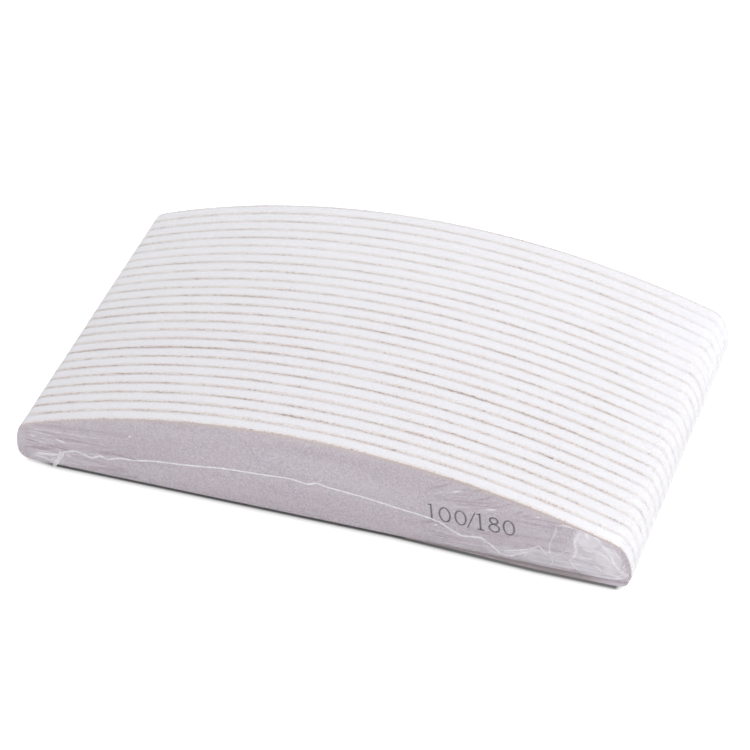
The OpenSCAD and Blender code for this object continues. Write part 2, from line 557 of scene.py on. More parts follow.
@dataclass(frozen=True)
class FoamFinish(Finish):
    """Cut edge of white closed-cell foam, speckled with stain and painted shade towards the sheets, with a
    few dark specks.
    """

    name: str = "foam_cut_edge"
    roughness: float = 0.85
    shine: float = 0.25
    relief: Relief = Relief(0.35, 0.06)
    pale: Colour = (0.89, 0.885, 0.93)
    dull: Colour = (0.80, 0.79, 0.84)
    grain_scale: float = 2200.0
    mottle: Band = (0.38, 0.62, 0, 1)
    soak_and_shade: Streaks = Streaks(1900.0, 1.2, (0.45, 0.62, 0.25, 1))
    reach: Streaks = Streaks(260.0, 3.0, (0.4, 0.6, 0.4, 1))
    stains_and_shade: tuple[StainAndShade, ...] = (
        StainAndShade("front_rim", 0.9, (0.67, 0.52, 0.43)),
        StainAndShade("back_rim", 0.8, (0.60, 0.49, 0.50)),
    )
    stain_and_shade_falloff: float = 1.2
    specks: Specks = Specks(420.0, 0.03, 0.07)
    speck: Colour = (0.42, 0.38, 0.40)
    speck_share: float = 0.5
    cell_scale: float = 3200.0
    unevenness: float = 1.5

    def look(self, graph: Graph) -> Look:
        """Paints the foam, stained and darkened with painted shade by the piece's rim attributes.

        Args:
            graph: The material's graph.

        Returns:
            Its colour and the height of its cells.
        """
        grain = graph.grain(self.grain_scale)
        colour = graph.blend(graph.spread(grain["Fine"], *self.mottle), self.dull, self.pale)
        dots = graph.multiply(graph.shown(self.soak_and_shade), graph.shown(self.reach))
        # Each rim adds stain and painted shade in dots, darker towards the sheets.
        for stain in self.stains_and_shade:
            near = graph.math("POWER", graph.attribute(stain.rim), self.stain_and_shade_falloff)
            stained_and_shaded = graph.multiply(dots, graph.multiply(near, stain.share))
            colour = graph.blend(stained_and_shaded, colour, stain.colour)
        specks = graph.multiply(graph.specks(self.specks), self.speck_share)
        colour = graph.blend(specks, colour, self.speck)
        cells = graph.add("TexVoronoi", {"Vector": graph.point(), "Scale": self.cell_scale}).outputs
        pits = graph.math("ADD", cells["Distance"], graph.multiply(grain["Slow"], self.unevenness))
        return Look(colour, pits)


@dataclass(frozen=True)
class GritFinish(Finish):
    """Lavender-grey abrasive grit, mottled, with tan paper showing in a worn band under the crown.

    The crown is the height of its arc's centre and its radius. The worn band is how far inside the crown
    it starts and is full. It fades towards the left end.
    """

    name: str = "grit"
    shine: float = 0.2
    relief: Relief = Relief(0.5, 0.08)
    light: Colour = (0.715, 0.64, 0.715)
    dark: Colour = (0.43, 0.375, 0.425)
    warm: Colour = (0.60, 0.52, 0.55)
    tan: Colour = (0.67, 0.54, 0.49)
    grain_scale: float = 2100.0
    grains: Band = (0.36, 0.64, 0, 1)
    mottle: Band = (0.35, 0.75, 0, 0.5)
    crown: Place = (0.0, 0.0)
    worn: tuple[float, float] = (1.5, 0.1)
    bare: Band = (0.35, 0.6, 0.45, 1)
    left_end: Band = (-0.080, -0.020, 0.5, 1)

    def rim(self, graph: Graph, fine: Socket) -> Socket:
        """Masks the worn band under the crown, where the tan paper shows between the grains.

        Args:
            graph: The material's graph.
            fine: The fine grain.

        Returns:
            How much of the paper shows.
        """
        middle, radius = self.crown
        at = graph.axes()
        up = graph.math("SUBTRACT", at[2], middle * MM)
        reach = graph.math("SQRT", graph.math("ADD", graph.multiply(at[0], at[0]), graph.multiply(up, up)))
        start, full = ((radius - inside) * MM for inside in self.worn)
        band = graph.spread(reach, start, full, 0, 1)
        shows = graph.multiply(band, graph.spread(fine, *self.bare))
        return graph.multiply(shows, graph.spread(at[0], *self.left_end))

    def look(self, graph: Graph) -> Look:
        """Paints the grit.

        Args:
            graph: The material's graph.

        Returns:
            Its colour and the height of its grains.
        """
        grain = graph.grain(self.grain_scale)
        grains = graph.blend(graph.spread(grain["Fine"], *self.grains), self.dark, self.light)
        colour = graph.blend(graph.spread(grain["Slow"], *self.mottle), grains, self.warm)
        colour = graph.blend(self.rim(graph, grain["Fine"]), colour, self.tan)
        return Look(colour, grain["Fine"])


@dataclass(frozen=True, kw_only=True)
class CutEdgeFinish(Finish):
    """Cut edge of a sheet: dusted with foam, stained along some stretches, with dark flecks and crumbs.

    The flecks show fully where the edge is stained, and clean is their share elsewhere.
    """

    shine: float = 0.2
    relief: Relief = Relief(0.3, 0.04)
    dusted: Colour
    stained: Colour
    blush: Colour = (0.80, 0.67, 0.65)
    fleck: Colour = (0.20, 0.16, 0.18)
    crumb: Colour = (0.86, 0.85, 0.88)
    stretches: Streaks = Streaks(420.0, 5.0, (0.38, 0.66, 0, 1))
    hues: Streaks = Streaks(300.0, 3.0, (0.45, 0.62, 0, 0.8))
    fibres: Streaks = Streaks(2000.0, 1.3, (0.54, 0.61, 0, 1))
    crumbs: Streaks = Streaks(1300.0, 0.9, (0.56, 0.64, 0, 0.7))
    clean: float = 0.25

    def look(self, graph: Graph) -> Look:
        """Paints the cut edge.

        Args:
            graph: The material's graph.

        Returns:
            Its colour and the height of its fibres.
        """
        stain = graph.shown(self.stretches)
        tan = graph.blend(graph.shown(self.hues), self.stained, self.blush)
        colour = graph.blend(stain, self.dusted, tan)
        fibres = graph.flow(self.fibres)
        showing = graph.math("ADD", graph.multiply(stain, 1 - self.clean), self.clean)
        flecks = graph.multiply(graph.spread(fibres, *self.fibres.band), showing)
        colour = graph.blend(flecks, colour, self.fleck)
        colour = graph.blend(graph.shown(self.crumbs), colour, self.crumb)
        return Look(colour, fibres)


COARSE_PAPER = CutEdgeFinish(
    name="coarse_paper_edge", dusted=(0.84, 0.79, 0.755), stained=(0.74, 0.64, 0.56)
)
FINE_PAPER = CutEdgeFinish(name="fine_paper_edge", dusted=(0.84, 0.81, 0.82), stained=(0.72, 0.63, 0.60))
GRIT_EDGE = CutEdgeFinish(name="grit_edge", dusted=(0.78, 0.73, 0.73), stained=(0.54, 0.455, 0.455))


@dataclass(frozen=True)
class GlueFinish(Finish):
    """Dried adhesive between paper and foam."""

    name: str = "dried_adhesive"
    roughness: float = 0.5
    clear: Colour = (0.82, 0.77, 0.70)
    cloudy: Colour = (0.72, 0.65, 0.56)
    grain_scale: float = 1800.0
    clouds: Band = (0.4, 0.6, 0, 1)

    def look(self, graph: Graph) -> Look:
        """Paints the glue, clear and cloudy."""
        clouds = graph.spread(graph.grain(self.grain_scale)["Fine"], *self.clouds)
        return Look(graph.blend(clouds, self.clear, self.cloudy))


@dataclass(frozen=True)
class ClearFilmFinish(Finish):
    """Taut clear shrink film, which mirrors a little of the room and lets the rest through.

    Over the boards it gets hazier towards the back and the right end, with painted glints, white specks, on
    the right shoulder.
    Its places are in metres, because they are set against the shaded point.
    """

    name: str = "clear_film"
    roughness: float = 0.28
    relief: Relief = Relief(0.2, 0.3)
    tint: Colour = (0.97, 0.975, 1.0)
    milk: Colour = (0.93, 0.925, 0.955)
    streaks: Streaks = Streaks(260.0, 9.0, (0.35, 0.75, 0.035, 0.075))
    slack_scale: float = 900.0
    over_boards: Band = (0.0465, 0.0475, 1, 0)
    back_haze: Band = (-0.012, 0.046, 0, 0.20)
    end: Band = (0.062, 0.086, 0, 1)
    end_falloff: float = 1.8
    end_haze: float = 0.24
    tip_haze: Band = (0.0868, 0.0888, 0, 0.30)
    broken_up: Band = (0.3, 0.7, 0.75, 1.25)
    # Painted glints: white specks of film on the right shoulder, and how strongly they show.
    glints: Specks = Specks(150.0, 0.2, 0.12)
    glint: float = 0.2
    shoulder_start: Band = (0.076, 0.079, 0, 1)
    shoulder_end: Band = (0.084, 0.086, 1, 0)

    def haze(self, graph: Graph, streaks: Socket) -> Socket:
        """Lays haze over the crowns and the right end, and painted glints on the right shoulder, none over
        the front and the back face.

        Args:
            graph: The material's graph.
            streaks: A value that breaks up the haze.

        Returns:
            How milky the film is, with the painted glints.
        """
        at = graph.axes()
        over = graph.spread(graph.math("ABSOLUTE", at[1]), *self.over_boards)
        back = graph.spread(at[1], *self.back_haze)
        end = graph.math("POWER", graph.spread(at[0], *self.end), self.end_falloff)
        both = graph.math("ADD", back, graph.multiply(end, self.end_haze))
        milky = graph.multiply(both, graph.spread(streaks, *self.broken_up))
        milky = graph.math("MAXIMUM", milky, graph.spread(at[0], *self.tip_haze))
        # Painted glints, white specks on the right shoulder.
        specks = graph.specks(self.glints)
        start, end = graph.spread(at[0], *self.shoulder_start), graph.spread(at[0], *self.shoulder_end)
        glints = graph.multiply(graph.multiply(specks, graph.multiply(start, end)), self.glint)
        return graph.multiply(graph.math("MAXIMUM", milky, glints), over)

    def look(self, graph: Graph) -> Look:
        """Paints the film: a mirror for its share of the cover, and milky for the rest.

        Args:
            graph: The material's graph.

        Returns:
            Its colour, the height of its slack, its cover and its metal.
        """
        streaks = graph.flow(self.streaks)
        mirror = graph.spread(streaks, *self.streaks.band)
        cover = graph.math("ADD", mirror, self.haze(graph, streaks), clamp=True)
        metal = graph.math("DIVIDE", mirror, cover)
        height = graph.math("ADD", streaks, graph.grain(self.slack_scale)["Slow"])
        return Look(graph.blend(metal, self.milk, self.tint), height, cover, metal)


@dataclass(frozen=True)
class WeldFinish(Finish):
    """Clouded film of a weld, a strand or a fold, more and less see-through along its way."""

    name: str = "film_weld"
    roughness: float = 0.25
    relief: Relief = Relief(0.2, 0.1)
    white: Colour = (0.93, 0.925, 0.96)
    thin: float = 0.72
    thick: float = 1.0
    grain_scale: float = 5200.0
    clouds: tuple[float, float] = (0.35, 0.65)
    pinholes: Band = (0.3, 0.7, 0.8, 1.0)

    def look(self, graph: Graph) -> Look:
        """Paints the weld.

        Args:
            graph: The material's graph.

        Returns:
            Its colour, the height of its grain and its cover.
        """
        grain = graph.grain(self.grain_scale)
        body = graph.spread(grain["Slow"], *self.clouds, self.thin, self.thick)
        cover = graph.multiply(body, graph.spread(grain["Fine"], *self.pinholes))
        return Look(self.white, grain["Fine"], cover)


@dataclass(frozen=True)
class RollFinish(Finish):
    """Rolled slack film on the bottom edge: brown-grey with painted shade where it is thick, paler where it
    thins at the end.
    """

    name: str = "film_roll"
    roughness: float = 0.4
    shine: float = 0.3
    relief: Relief = Relief(0.3, 0.1)
    # The thick colour is the grit seen through the film, darkened with painted shade under the roll.
    thick: Colour = (0.37, 0.325, 0.33)
    thin: Colour = (0.68, 0.62, 0.68)
    fades: Place = (74.0, 84.0)
    wrinkles: Streaks = Streaks(1500.0, 4.0, (0.5, 0.7, 0, 0.35))
    cover: float = 0.95

    def look(self, graph: Graph) -> Look:
        """Paints the roll.

        Args:
            graph: The material's graph.

        Returns:
            Its colour, the height of its wrinkles and its cover.
        """
        start, stop = (x * MM for x in self.fades)
        wrinkles = graph.flow(self.wrinkles)
        colour = graph.blend(graph.spread(graph.axes()[0], start, stop, 0, 1), self.thick, self.thin)
        colour = graph.blend(graph.spread(wrinkles, *self.wrinkles.band), colour, self.thin)
        return Look(colour, wrinkles, self.cover)


@dataclass(frozen=True)
class GatherFinish(Finish):
    """Gathered film: milky white where it creases, with painted glints in short bright creases, dark with
    painted shade along other creases, else clear.
    """

    name: str = "gathered_film"
    roughness: float = 0.3
    shine: float = 0.3
    relief: Relief = Relief(0.25, 0.15)
    # White of milky creases, and of the painted glints.
    white: Colour = (0.955, 0.92, 0.985)
    # Dark colour of the painted shade along creases.
    painted_shade: Colour = (0.42, 0.30, 0.38)
    streaks: Streaks = Streaks(1100.0, 5.0, (0.3, 0.7, 0.75, 1.15))

    def look(self, graph: Graph) -> Look:
        """Paints the film from the piece's veil and tone attributes.

        Args:
            graph: The material's graph.

        Returns:
            Its colour, the height of its streaks and its cover.
        """
        streaks = graph.flow(self.streaks)
        colour = graph.blend(graph.attribute("tone"), self.painted_shade, self.white)
        cover = graph.multiply(graph.attribute("veil"), graph.spread(streaks, *self.streaks.band))
        return Look(colour, streaks, cover)


@dataclass(frozen=True)
class InkFinish(Finish):
    """Dark grey stamping ink, broken up by the grit that it is printed on."""

    name: str = "stamping_ink"
    roughness: float = 0.8
    ink: Colour = (0.075, 0.07, 0.08)
    bare: Colour = (0.36, 0.32, 0.35)
    grain_scale: float = 4200.0
    gaps: Band = (0.54, 0.74, 0, 1)

    def look(self, graph: Graph) -> Look:
        """Paints the ink, with the grit where it is missing."""
        missing = graph.spread(graph.grain(self.grain_scale)["Fine"], *self.gaps)
        return Look(graph.blend(missing, self.ink, self.bare))


@dataclass
class Finishes:
    """Every finish of the bundle, made once."""

    crown: Place
    effects: Effects = field(default_factory=Effects)

    def __post_init__(self) -> None:
        """Makes the materials."""
        self.foam = FoamFinish().make(self.effects)
        self.grit = GritFinish(crown=self.crown).make(self.effects)
        self.coarse_paper = COARSE_PAPER.make(self.effects)
        self.fine_paper = FINE_PAPER.make(self.effects)
        self.grit_edge = GRIT_EDGE.make(self.effects)
        self.glue = GlueFinish().make(self.effects)
        self.clear_film = ClearFilmFinish().make(self.effects)
        self.weld = WeldFinish().make(self.effects)
        self.fold = WeldFinish(name="film_underfold", thin=0.35, thick=0.6).make(self.effects)
        self.end_weld = WeldFinish(name="film_end_weld", thin=0.03, thick=0.10).make(self.effects)
        self.roll = RollFinish().make(self.effects)
        self.gather = GatherFinish().make(self.effects)
        self.ink = InkFinish().make(self.effects)


# Shapes.


@dataclass(frozen=True)
class Sweep:
    """An arc of the outline: its centre, how far it turns, and its steps."""

    centre: Place
    turn: float
    steps: int


@dataclass(frozen=True)
class HalfMoon:
    """Outline of a board in X and Z, or with grow that of a skin outside it.

    The long crown is one arc. Each end is a wide arc that a small one blends into the crown.
    """

    half_length: float
    height: float
    base: float
    crown_end_h: float = 12.1
    end_r: float = 19.0
    shoulder_r: float = 5.0
    toe_r: float = 3.0
    end_flat: float = 0.6
    grow: float = 0.0
    toe_steps: int = 5
    end_steps: int = 8
    shoulder_steps: int = 6
    crown_steps: int = 110
    base_steps: int = 16
    merge: float = 0.01

    @property
    def crown_r(self) -> float:
        """Radius of the crown, from its chord and its rise."""
        rise = self.height - self.crown_end_h
        return (self.half_length**2 + rise**2) / (2 * rise)

    def crown_height(self, x: float) -> float:
        """Height of the crown above the straight edge at x."""
        return self.height - self.crown_r + math.sqrt(self.crown_r**2 - x**2)

    def sweeps(self) -> list[Sweep]:
        """Lists the arcs from the bottom corner on the right to the middle of the crown.

        Returns:
            The toe, end, shoulder and crown arcs, each tangent to the one before it.
        """
        toe = Vector((self.half_length - self.toe_r, self.base + self.toe_r))
        end = Vector((self.half_length - self.end_r, self.base + self.toe_r + self.end_flat))
        crown = Vector((0.0, self.base + self.height - self.crown_r))
        apart = end - crown
        to_crown, to_end = self.crown_r - self.shoulder_r, self.end_r - self.shoulder_r
        swing = math.acos((to_crown**2 + apart.length**2 - to_end**2) / (2 * to_crown * apart.length))
        crown_tangent = math.atan2(apart.y, apart.x) - swing
        shoulder = crown + to_crown * Vector((math.cos(crown_tangent), math.sin(crown_tangent)))
        end_tangent = math.atan2(shoulder.y - end.y, shoulder.x - end.x)
        return [
            Sweep(tuple(toe), math.pi / 2, self.toe_steps),
            Sweep(tuple(end), end_tangent, self.end_steps),
            Sweep(tuple(shoulder), crown_tangent - end_tangent, self.shoulder_steps),
            Sweep(tuple(crown), math.pi / 2 - crown_tangent, self.crown_steps),
        ]

    def face(self, name: str, y: float) -> Piece:
        """Draws half of the outline, mirrors it and fills it with one face.

        Args:
            name: Name of the piece.
            y: Where the face stands.

        Returns:
            A flat piece with its mesh in place.
        """
        start = Vector((0, y, self.base - self.grow)) * MM
        bpy.ops.mesh.primitive_plane_add(size=MM, location=start)
        piece = bpy.context.object
        piece.name = name
        bpy.ops.object.transform_apply(location=True)
        run = (self.half_length - self.toe_r) / self.base_steps
        with editing(piece):
            bpy.ops.mesh.select_all(action="SELECT")
            bpy.ops.mesh.merge(type="CENTER")
            for _ in range(self.base_steps):
                step_by((run, 0, 0))
            for i, arc in enumerate(self.sweeps()):
                centre = Vector((arc.centre[0], y, arc.centre[1])) * MM
                bpy.ops.mesh.spin(steps=arc.steps, angle=arc.turn, center=centre, axis=(0, 1, 0))
                if i == 0:
                    step_by((0, 0, self.end_flat))
        flip = piece.modifiers.new("mirror", "MIRROR")
        flip.merge_threshold = self.merge * MM
        apply_modifier(piece, flip)
        with editing(piece):
            bpy.ops.mesh.select_all(action="SELECT")
            bpy.ops.mesh.edge_face_add()
        return piece


def step_by(step: tuple[float, float, float]) -> None:
    """Extrudes what is selected in edit mode by a step in millimetres."""
    bpy.ops.mesh.extrude_region_move(TRANSFORM_OT_translate={"value": Vector(step) * MM})


def slab(outline: HalfMoon, name: str, layers: list[float], y: float = 0.0) -> Piece:
    """Extrudes an outline towards the back in layers.

    Args:
        outline: The outline to extrude.
        name: Name of the piece.
        layers: Thickness of each layer from the front.
        y: Where the front stands.

    Returns:
        A closed piece with a ring of edges between each two layers.
    """
    piece = outline.face(name, y)
    with editing(piece, Pick.FACE):
        bpy.ops.mesh.select_all(action="SELECT")
        for thickness in layers:
            step_by((0, thickness, 0))
        bpy.ops.mesh.select_all(action="SELECT")
        bpy.ops.mesh.normals_make_consistent(inside=False)
    return piece


def bevel_rims(piece: Piece, at: tuple[float, ...], width: float) -> None:
    """Rounds the rims of a slab.

    Args:
        piece: The slab.
        at: The planes of Y that the rims lie in.
        width: Width of the rounding.
    """
    slack, segments, profile = 0.001, 2, 0.6

    def on_rim(middle: Vector, along: Vector) -> bool:
        """Tells whether an edge lies in one of the planes."""
        return abs(along.y) < slack and any(abs(middle.y / MM - y) < slack for y in at)

    pick(piece, Pick.EDGE, on_rim)
    with editing(piece, Pick.EDGE):
        bpy.ops.mesh.bevel(offset=width * MM, segments=segments, profile=profile)


@dataclass(frozen=True)
class Unevenness:
    """Slow waves or fine roughness that a Displace modifier presses into a piece."""

    wave: float
    depth: float
    direction: str

    def press(self, piece: Piece, seed: float, flat_y: bool = True) -> None:
        """Presses the unevenness into a piece.

        Args:
            piece: The piece to press.
            seed: Moves the noise, so that each piece has its own.
            flat_y: True if the noise may not change through the bundle's depth.
        """
        slant, stretch = 3, 1000
        cloud = bpy.data.textures.new("unevenness", "CLOUDS")
        cloud.noise_scale = self.wave * MM
        cloud.noise_basis = "ORIGINAL_PERLIN"
        guide = bpy.data.objects.new("guide", None)
        bpy.context.scene.collection.objects.link(guide)
        guide.location = (seed, 0, seed / slant)
        guide.scale = (1, stretch if flat_y else 1, 1)
        bpy.context.view_layer.update()
        bend = piece.modifiers.new("bend", "DISPLACE")
        bend.texture = cloud
        bend.texture_coords = "OBJECT"
        bend.texture_coords_object = guide
        bend.direction = self.direction
        bend.strength = 2 * self.depth * MM
        apply_modifier(piece, bend)
        bpy.data.objects.remove(guide)
        bpy.data.textures.remove(cloud)


@dataclass
class BoardStack:
    """The boards: foam cores, a coarse sheet on each front, a fine sheet on each back, and the glue."""

    outline: HalfMoon
    finishes: Finishes
    count: int
    adhesive_t: float = 0.06
    coarse_grit_t: float = 0.16
    fine_grit_t: float = 0.12
    foam_give: float = 0.05
    front_rim: float = 0.75
    back_rim: float = 0.6
    rim_r: float = 0.14
    waves: Unevenness = Unevenness(wave=34, depth=0.05, direction="Y")
    nibs: Unevenness = Unevenness(wave=0.9, depth=0.05, direction="NORMAL")
    seed_step: float = 0.37
    stagger: float = 0.05

    def __post_init__(self) -> None:
        """Reads the layers of a board from the frame."""
        core_low, core_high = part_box("board_01_core")
        sheet_low, sheet_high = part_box("board_01_sheets")
        self.core_t = (core_high.y - core_low.y) / MM
        self.coarse_t = (core_low.y - sheet_low.y) / MM - self.adhesive_t
        self.fine_t = (sheet_high.y - core_high.y) / MM - self.adhesive_t
        self.random = random.Random(11)

    def model_core(self) -> Piece:
        """Models one foam core with softened rims.

        Returns:
            The core, its front at the origin. Its rim attributes fade from each rim into the foam.
        """
        thickness = self.core_t - self.foam_give
        middle = thickness - self.front_rim - self.back_rim
        core = slab(self.outline, "core_pattern", [self.front_rim, middle / 2, middle / 2, self.back_rim])
        bevel_rims(core, (0, thickness), self.rim_r)
        core.data.materials.append(self.finishes.foam)
        into = [vertex.co.y / MM for vertex in core.data.vertices]
        rims = {
            "front_rim": [max(0.0, 1 - y / self.front_rim) for y in into],
            "back_rim": [max(0.0, 1 - (thickness - y) / self.back_rim) for y in into],
        }
        for rim, nearness in rims.items():
            core.data.attributes.new(rim, "FLOAT", "POINT").data.foreach_set("value", nearness)
        return core

    def model_sheet(self, name: str, thickness: float, grit_t: float, grit_first: bool) -> Piece:
        """Models one abrasive sheet, paper on the side of the foam and grit on the other.

        Args:
            name: Name of the pattern.
            thickness: Grit and paper together.
            grit_t: Thickness of the grit.
            grit_first: True if the grit faces the front.

        Returns:
            The sheet, its front at the origin.
        """
        paper_t = thickness - grit_t
        layers = [grit_t, paper_t] if grit_first else [paper_t, grit_t]
        sheet = slab(self.outline, name, layers)
        paper = self.finishes.coarse_paper if grit_first else self.finishes.fine_paper
        for finish in (self.finishes.grit, self.finishes.grit_edge, paper):
            sheet.data.materials.append(finish)
        border = layers[0] * MM
        grit, grit_edge, paper_edge = range(3)
        for face in sheet.data.polygons:
            in_grit = (face.center.y < border) == grit_first
            is_flat = abs(face.normal.y) > 0.5
            in_grit_slot = grit if is_flat else grit_edge
            face.material_index = in_grit_slot if in_grit else paper_edge
        return sheet

    def lay(self, pattern: Piece, name: str, at: Vector, seed: float) -> Piece:
        """Copies a layer to its place in the bundle and gives it the board's own waves.

        Args:
            pattern: The layer that was modelled once.
            name: Name of the copy.
            at: Where its front stands.
            seed: The board's own seed.

        Returns:
            The layer in its place.
        """
        made = copy_of(pattern, name, at)
        self.waves.press(made, seed)
        return made

    def build(self) -> None:
        """Lays every board from front to back, then joins the glue to one piece."""
        core = self.model_core()
        coarse = self.model_sheet("coarse_pattern", self.coarse_t, self.coarse_grit_t, True)
        fine = self.model_sheet("fine_pattern", self.fine_t, self.fine_grit_t, False)
        glue = slab(self.outline, "glue_pattern", [self.adhesive_t])
        glue.data.materials.append(self.finishes.glue)
        glue_layers = []
        for number in range(1, self.count + 1):
            label = f"board_{number:02d}"
            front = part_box(f"{label}_sheets")[0].y / MM
            seed = self.seed_step * number
            drift = self.stagger if number > 1 else 0
            at = Vector((self.random.uniform(-drift, drift), front, self.random.uniform(-2 * drift, 0)))
            core_at = at + Vector((0, self.coarse_t + self.adhesive_t, 0))
            back_at = core_at + Vector((0, self.core_t - self.foam_give, 0))
            foam = self.lay(core, f"{label}_foam", core_at, seed)
            self.nibs.press(foam, seed, flat_y=False)
            sheets = [
                self.lay(coarse, f"{label}_grit", at, seed),
                self.lay(fine, f"{label}_fine", back_at + Vector((0, self.adhesive_t, 0)), seed),
            ]
            glue_layers.append(self.lay(glue, "glue", at + Vector((0, self.coarse_t, 0)), seed))
            glue_layers.append(self.lay(glue, "glue", back_at, seed))
            fit_out(foam, Slot.FOAM, (f"{label}_core",))
            fit_out(join(sheets, f"{label}_grit"), Slot.SHEET, (f"{label}_sheets",))
        fit_out(join(glue_layers, "glue_layers"), Slot.GLUE, ("adhesive_layers",))
        discard(core, coarse, fine, glue)


@dataclass
class GritNumbers:
    """The plain grit numbers that are stamped on the front board, coarse side and fine side.

    The signs' own places are counted from their left and their foot or top. The two rings of an eight
    are shares of the half width and of the height.
    """

    base: float
    face_y: float
    finishes: Finishes
    text: str = "100/180"
    foot_z: float = 9.0
    height: float = 5.6
    stroke: float = 0.55
    ink_t: float = 0.02
    starts: tuple[float, ...] = (33.6, 36.4, 40.8, 44.4, 47.2, 50.1, 54.2)
    ring_w: float = 3.5
    ring_steps: int = 48
    thin_share: float = 0.7
    stem_x: float = 0.8
    serif: Place = (0.05, 1.6)
    flag: Place = (0.1, -0.15)
    slash: tuple[Place, Place] = ((0.0, -0.1), (2.3, 0.2))
    low_ring: Place = (0.95, 0.28)
    high_ring: Place = (0.78, 0.235)
    soft_share: float = 0.3
    foot_thinning: float = 0.25

    def bar(self, from_at: Place, to_at: Place, width: float) -> Piece:
        """Makes one straight stroke of ink.

        Args:
            from_at: Where it starts on the face.
            to_at: Where it ends.
            width: Width of the stroke.

        Returns:
            The stroke.
        """
        middle = (Vector(from_at) + Vector(to_at)) / 2
        along = Vector(to_at) - Vector(from_at)
        at = Vector((middle.x, self.face_y - self.ink_t / 2, self.base + middle.y)) * MM
        bpy.ops.mesh.primitive_cube_add(
            size=MM, location=at, rotation=(0, -math.atan2(along.y, along.x), 0),
            scale=(along.length + width, self.ink_t, width),
        )
        stroke = bpy.context.object
        bpy.ops.object.transform_apply(location=True, rotation=True, scale=True)
        with editing(stroke, Pick.EDGE):
            bpy.ops.mesh.select_all(action="SELECT")
            bpy.ops.mesh.bevel(offset=self.ink_t * self.soft_share * MM, segments=1)
        return stroke

    def ring(self, middle: Place, half_w: float, half_h: float) -> Piece:
        """Makes one oval stroke of ink, thinner at its top and foot than at its sides.

        Args:
            middle: Its middle on the face.
            half_w: Half of its width.
            half_h: Half of its height.

        Returns:
            The stroke.
        """
        at = Vector((middle[0], self.face_y, self.base + middle[1])) * MM
        thinner = 1 + self.foot_thinning * self.stroke / half_h
        bpy.ops.mesh.primitive_circle_add(
            vertices=self.ring_steps, radius=MM, fill_type="NGON", location=at,
            rotation=(math.pi / 2, 0, 0),
        )
        oval = bpy.context.object
        bpy.ops.object.transform_apply(location=True, rotation=True)
        with editing(oval, Pick.FACE):
            bpy.ops.mesh.select_all(action="SELECT")
            bpy.ops.transform.resize(value=(half_w, 1, half_h), center_override=at)
            bpy.ops.mesh.inset(thickness=self.stroke * MM)
            bpy.ops.transform.resize(value=(1, 1, thinner), center_override=at)
            bpy.ops.mesh.delete(type="FACE")
            bpy.ops.mesh.select_all(action="SELECT")
            step_by((0, -self.ink_t, 0))
            bpy.ops.mesh.select_all(action="SELECT")
            bpy.ops.mesh.normals_make_consistent(inside=False)
        return oval

    def glyph(self, sign: str, left: float) -> list[Piece]:
        """Makes the strokes of one sign.

        Args:
            sign: A digit, or the stroke between the two numbers.
            left: Where the sign starts.

        Returns:
            Its strokes of ink.
        """
        foot, top, thin = self.foot_z, self.foot_z + self.height, self.thin_share * self.stroke
        if sign == "1":
            stem, (serif_from, serif_to), (flag_x, flag_z) = left + self.stem_x, self.serif, self.flag
            return [
                self.bar((stem, foot), (stem, top), self.stroke),
                self.bar((left + serif_from, foot), (left + serif_to, foot), thin),
                self.bar((left + flag_x, top + flag_z), (stem, top), thin),
            ]
        if sign == "/":
            (low_x, low_z), (high_x, high_z) = self.slash
            return [self.bar((left + low_x, foot + low_z), (left + high_x, top + high_z), thin)]
        half_w, middle = self.ring_w / 2, left + self.ring_w / 2
        if sign == "8":
            low_h, high_h = self.low_ring[1] * self.height, self.high_ring[1] * self.height
            return [
                self.ring((middle, foot + low_h), self.low_ring[0] * half_w, low_h),
                self.ring((middle, top - high_h), self.high_ring[0] * half_w, high_h),
            ]
        return [self.ring((middle, foot + self.height / 2), half_w, self.height / 2)]

    def build(self) -> None:
        """Stamps every sign and joins the ink to one piece."""
        strokes = [made for sign, left in zip(self.text, self.starts) for made in self.glyph(sign, left)]
        ink = join(strokes, "grit_numbers")
        ink.data.materials.clear()
        ink.data.materials.append(self.finishes.ink)
        fit_out(ink, Slot.SHEET)


@dataclass(frozen=True)
class Bead:
    """A rounded strand of film on the front face, which swells and thins along its way."""

    name: str
    places: tuple[Place, ...]
    width: float
    stand_off: float = 0.16
    swell: float = 0.45
    step: float = 0.7

    def model(self, front_y: float, base: float, seed: float) -> Piece:
        """Models the strand as a chain of edges that gets a round section and is pressed flat.

        Args:
            front_y: The outside of the film.
            base: Height of the boards' straight edge.
            seed: Moves the swelling along the strand.

        Returns:
            The strand, a closed piece.
        """
        line = smooth_line([Vector((x, front_y, base + z)) for x, z in self.places], self.step)
        return strand(self.name, line, self.width, self.swell, seed, (1, self.stand_off / self.width, 1))


